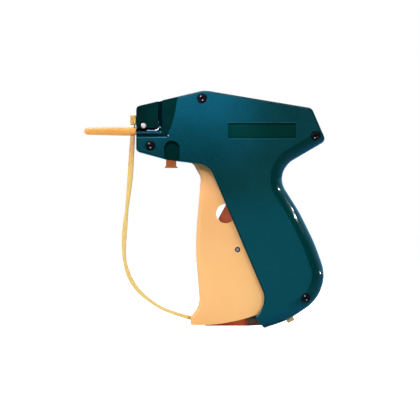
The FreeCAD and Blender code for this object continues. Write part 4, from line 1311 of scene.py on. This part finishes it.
@dataclass(frozen=True)
class Studio:
    """Pale floor, white surroundings, soft lamps and the long-lens camera."""

    aim: Triple = MIDDLE
    picture_width: float = 0.2352
    distance: float = 2.4
    sensor_mm: float = 36.0
    far: float = 20.0
    world_light: float = 0.5
    dark_level: float = 0.04
    dark_side: Pair = (-0.55, 0.4)
    gloss_color: Linear = (0.24, 0.62, 1.0, 1.0)
    floor_half: float = 3.0
    floor_drop: float = 0.0004
    floor_mottle_mm: float = 40.0
    floor_tone: Pair = (0.95, 0.97)
    floor_glow: float = 0.75
    floor_gloss: Linear = (0.06, 0.30, 0.62, 1.0)
    floor_shade: Pair = (-0.16, 0.03)
    floor_dark: float = 0.08
    floor_roughness: float = 0.9
    lamps: tuple[Lamp, ...] = (
        Lamp("key", (-0.75, -0.66, 0.80), (0.5, 0.5), 7.3),
        Lamp("strip", (-0.05, -0.75, 0.95), (0.9, 0.12), 2.2),
        Lamp("top", (-0.1, 0.25, 1.0), (0.5, 0.25), 4.0),
        Lamp("catch_1", (0.264, -0.011, 0.192), (0.002, 0.002), 0.0012, (0.0438, -0.011, 0.0743), 0.35),
        Lamp("catch_2", (0.2557, -0.071, 0.1716), (0.0035, 0.0035), 0.003675, (0.0491, -0.011, 0.0656), 0.35),
        Lamp("catch_3", (0.313, 0.015, 0.043), (0.003, 0.003), 0.0027, (0.0644, -0.006, 0.0307), 0.35))
    spots: tuple[Spot, ...] = (
        Spot("cool_spot", (-0.02, -0.42, 0.40), (-0.004, -0.0125, 0.1305), 0.1, 88.0, (0.85, 0.62, 1.0)),
        Spot("grip_spot", (0.20, -0.62, 0.06), (0.034, -0.0125, 0.016), 0.15, 6.0, (0.6, 0.9, 1.0)))

    def build(self) -> None:
        """Make the floor, the world, the lamps and the camera."""
        self.make_floor()
        self.make_world()
        for lamp in self.lamps:
            self.make_lamp(lamp)
        for spot in self.spots:
            self.make_spot(spot)
        self.make_camera()
        log.info("studio built with %d lamps", len(self.lamps) + len(self.spots))

    def make_floor(self) -> None:
        """Floor whose colour reads white to the camera and keeps the shadow."""
        half = self.floor_half
        mesh = bpy.data.meshes.new("floor")
        corners = ((-half, -half), (half, -half), (half, half), (-half, half))
        mesh.from_pydata([(x, y, -self.floor_drop) for x, y in corners], [], [(0, 1, 2, 3)])
        floor = bpy.data.objects.new("floor", mesh)
        bpy.context.scene.collection.objects.link(floor)
        graph = Graph("floor_white")
        rays = graph.add("ShaderNodeLightPath").outputs
        tone = graph.remap(graph.noise(self.floor_mottle_mm), *NOISE_SPAN, *self.floor_tone)
        y = graph.split(graph.place)[1]
        behind = graph.remap(y, *self.floor_shade, self.floor_dark, 1.0, smooth=True)
        mirrored = graph.mix(behind, BLACK, self.floor_gloss)
        tint = graph.mix(rays["Is Glossy Ray"], graph.mix(tone, BLACK, WHITE), mirrored)
        graph.set(Base_Color=tint, Roughness=self.floor_roughness)
        seen = graph.math("MAXIMUM", rays["Is Camera Ray"], rays["Is Transmission Ray"])
        graph.set(Emission_Color=WHITE, Emission_Strength=graph.math("MULTIPLY", seen, self.floor_glow))
        mesh.materials.append(graph.material)

    def make_world(self) -> None:
        """Make the world: white to the camera, softer as a light, blue with a dark side in reflections."""
        world = bpy.data.worlds.new("surroundings")
        world.use_nodes = True
        nodes = Nodes(world.node_tree)
        rays = nodes.add("ShaderNodeLightPath").outputs
        way = nodes.add("ShaderNodeTexCoord").outputs["Generated"]
        back = nodes.split(way)[1]
        shade = nodes.remap(back, *self.dark_side, self.dark_level, 1.0, smooth=True)
        gloss = nodes.mix(shade, BLACK, self.gloss_color)
        level = self.world_light
        color = nodes.mix(rays["Is Glossy Ray"], (level, level, level, 1.0), gloss)
        seen = nodes.math("MAXIMUM", rays["Is Camera Ray"], rays["Is Transmission Ray"])
        color = nodes.mix(seen, color, WHITE)
        light = nodes.add("ShaderNodeBackground", {"Color": color, "Strength": 1.0})
        output = nodes.add("ShaderNodeOutputWorld")
        nodes.tree.links.new(light.outputs[0], output.inputs[0])
        bpy.context.scene.world = world

    def make_spot(self, spot: Spot) -> None:
        """Make a soft spot that leaves no mirror image.

        Args:
            spot: its place, aim, power and colour.
        """
        data = bpy.data.lights.new(spot.name, "SPOT")
        data.energy = spot.power
        data.color = spot.color
        data.spot_size = spot.angle
        data.spot_blend = 1.0
        data.shadow_soft_size = spot.source_radius
        self.stand(spot, data).visible_glossy = False

    def make_lamp(self, lamp: Lamp) -> None:
        """Make a lamp with a rectangular face.

        Args:
            lamp: its place, aim, size and power.
        """
        data = bpy.data.lights.new(lamp.name, "AREA")
        data.shape = "RECTANGLE"
        data.size, data.size_y = lamp.size
        data.energy = lamp.power
        data.spread = lamp.spread
        self.stand(lamp, data)

    def stand(self, light: Lamp | Spot, data: bpy.types.Light) -> Piece:
        """Stand a light in its place, turned to its aim.

        Args:
            light: its name, place and aim.
            data: the light that it gives.

        Returns:
            The light's object.
        """
        stood = bpy.data.objects.new(light.name, data)
        stood.location = light.place
        way = Vector(light.aim) - Vector(light.place)
        stood.rotation_euler = way.to_track_quat("-Z", "Y").to_euler()
        bpy.context.scene.collection.objects.link(stood)
        return stood

    def make_camera(self) -> None:
        """Camera square to the left side, far back behind a long lens."""
        data = bpy.data.cameras.new("camera")
        camera = bpy.data.objects.new("camera", data)
        way = Vector((0.0, -1.0, 0.0))
        camera.location = Vector(self.aim) + way * self.distance
        camera.rotation_euler = (-way).to_track_quat("-Z", "Y").to_euler()
        data.sensor_width = self.sensor_mm
        data.lens = self.sensor_mm * self.distance / self.picture_width
        data.clip_end = self.far
        bpy.context.scene.collection.objects.link(camera)
        bpy.context.scene.camera = camera


def main() -> None:
    """Load the frame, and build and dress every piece."""
    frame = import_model()
    paint = Paint()
    for finish, names in FRAME_PIECES.items():
        for name in names:
            paint.dress(frame["nodes"][name], finish)
            log.info("dressed %s with %s", name, finish.name.lower())
    parts = (CapStrap(), NeedleCap(), ReturnSpring(), ButtonSpring(), LinkPin(), NoseRivet(), Screws())
    for part in parts + BEADS:
        part.build(paint)
    Studio().build()
    bpy.context.scene.view_settings.view_transform = "Standard"


if __name__ == "__main__":
    logging.basicConfig(level=logging.INFO)
    main()
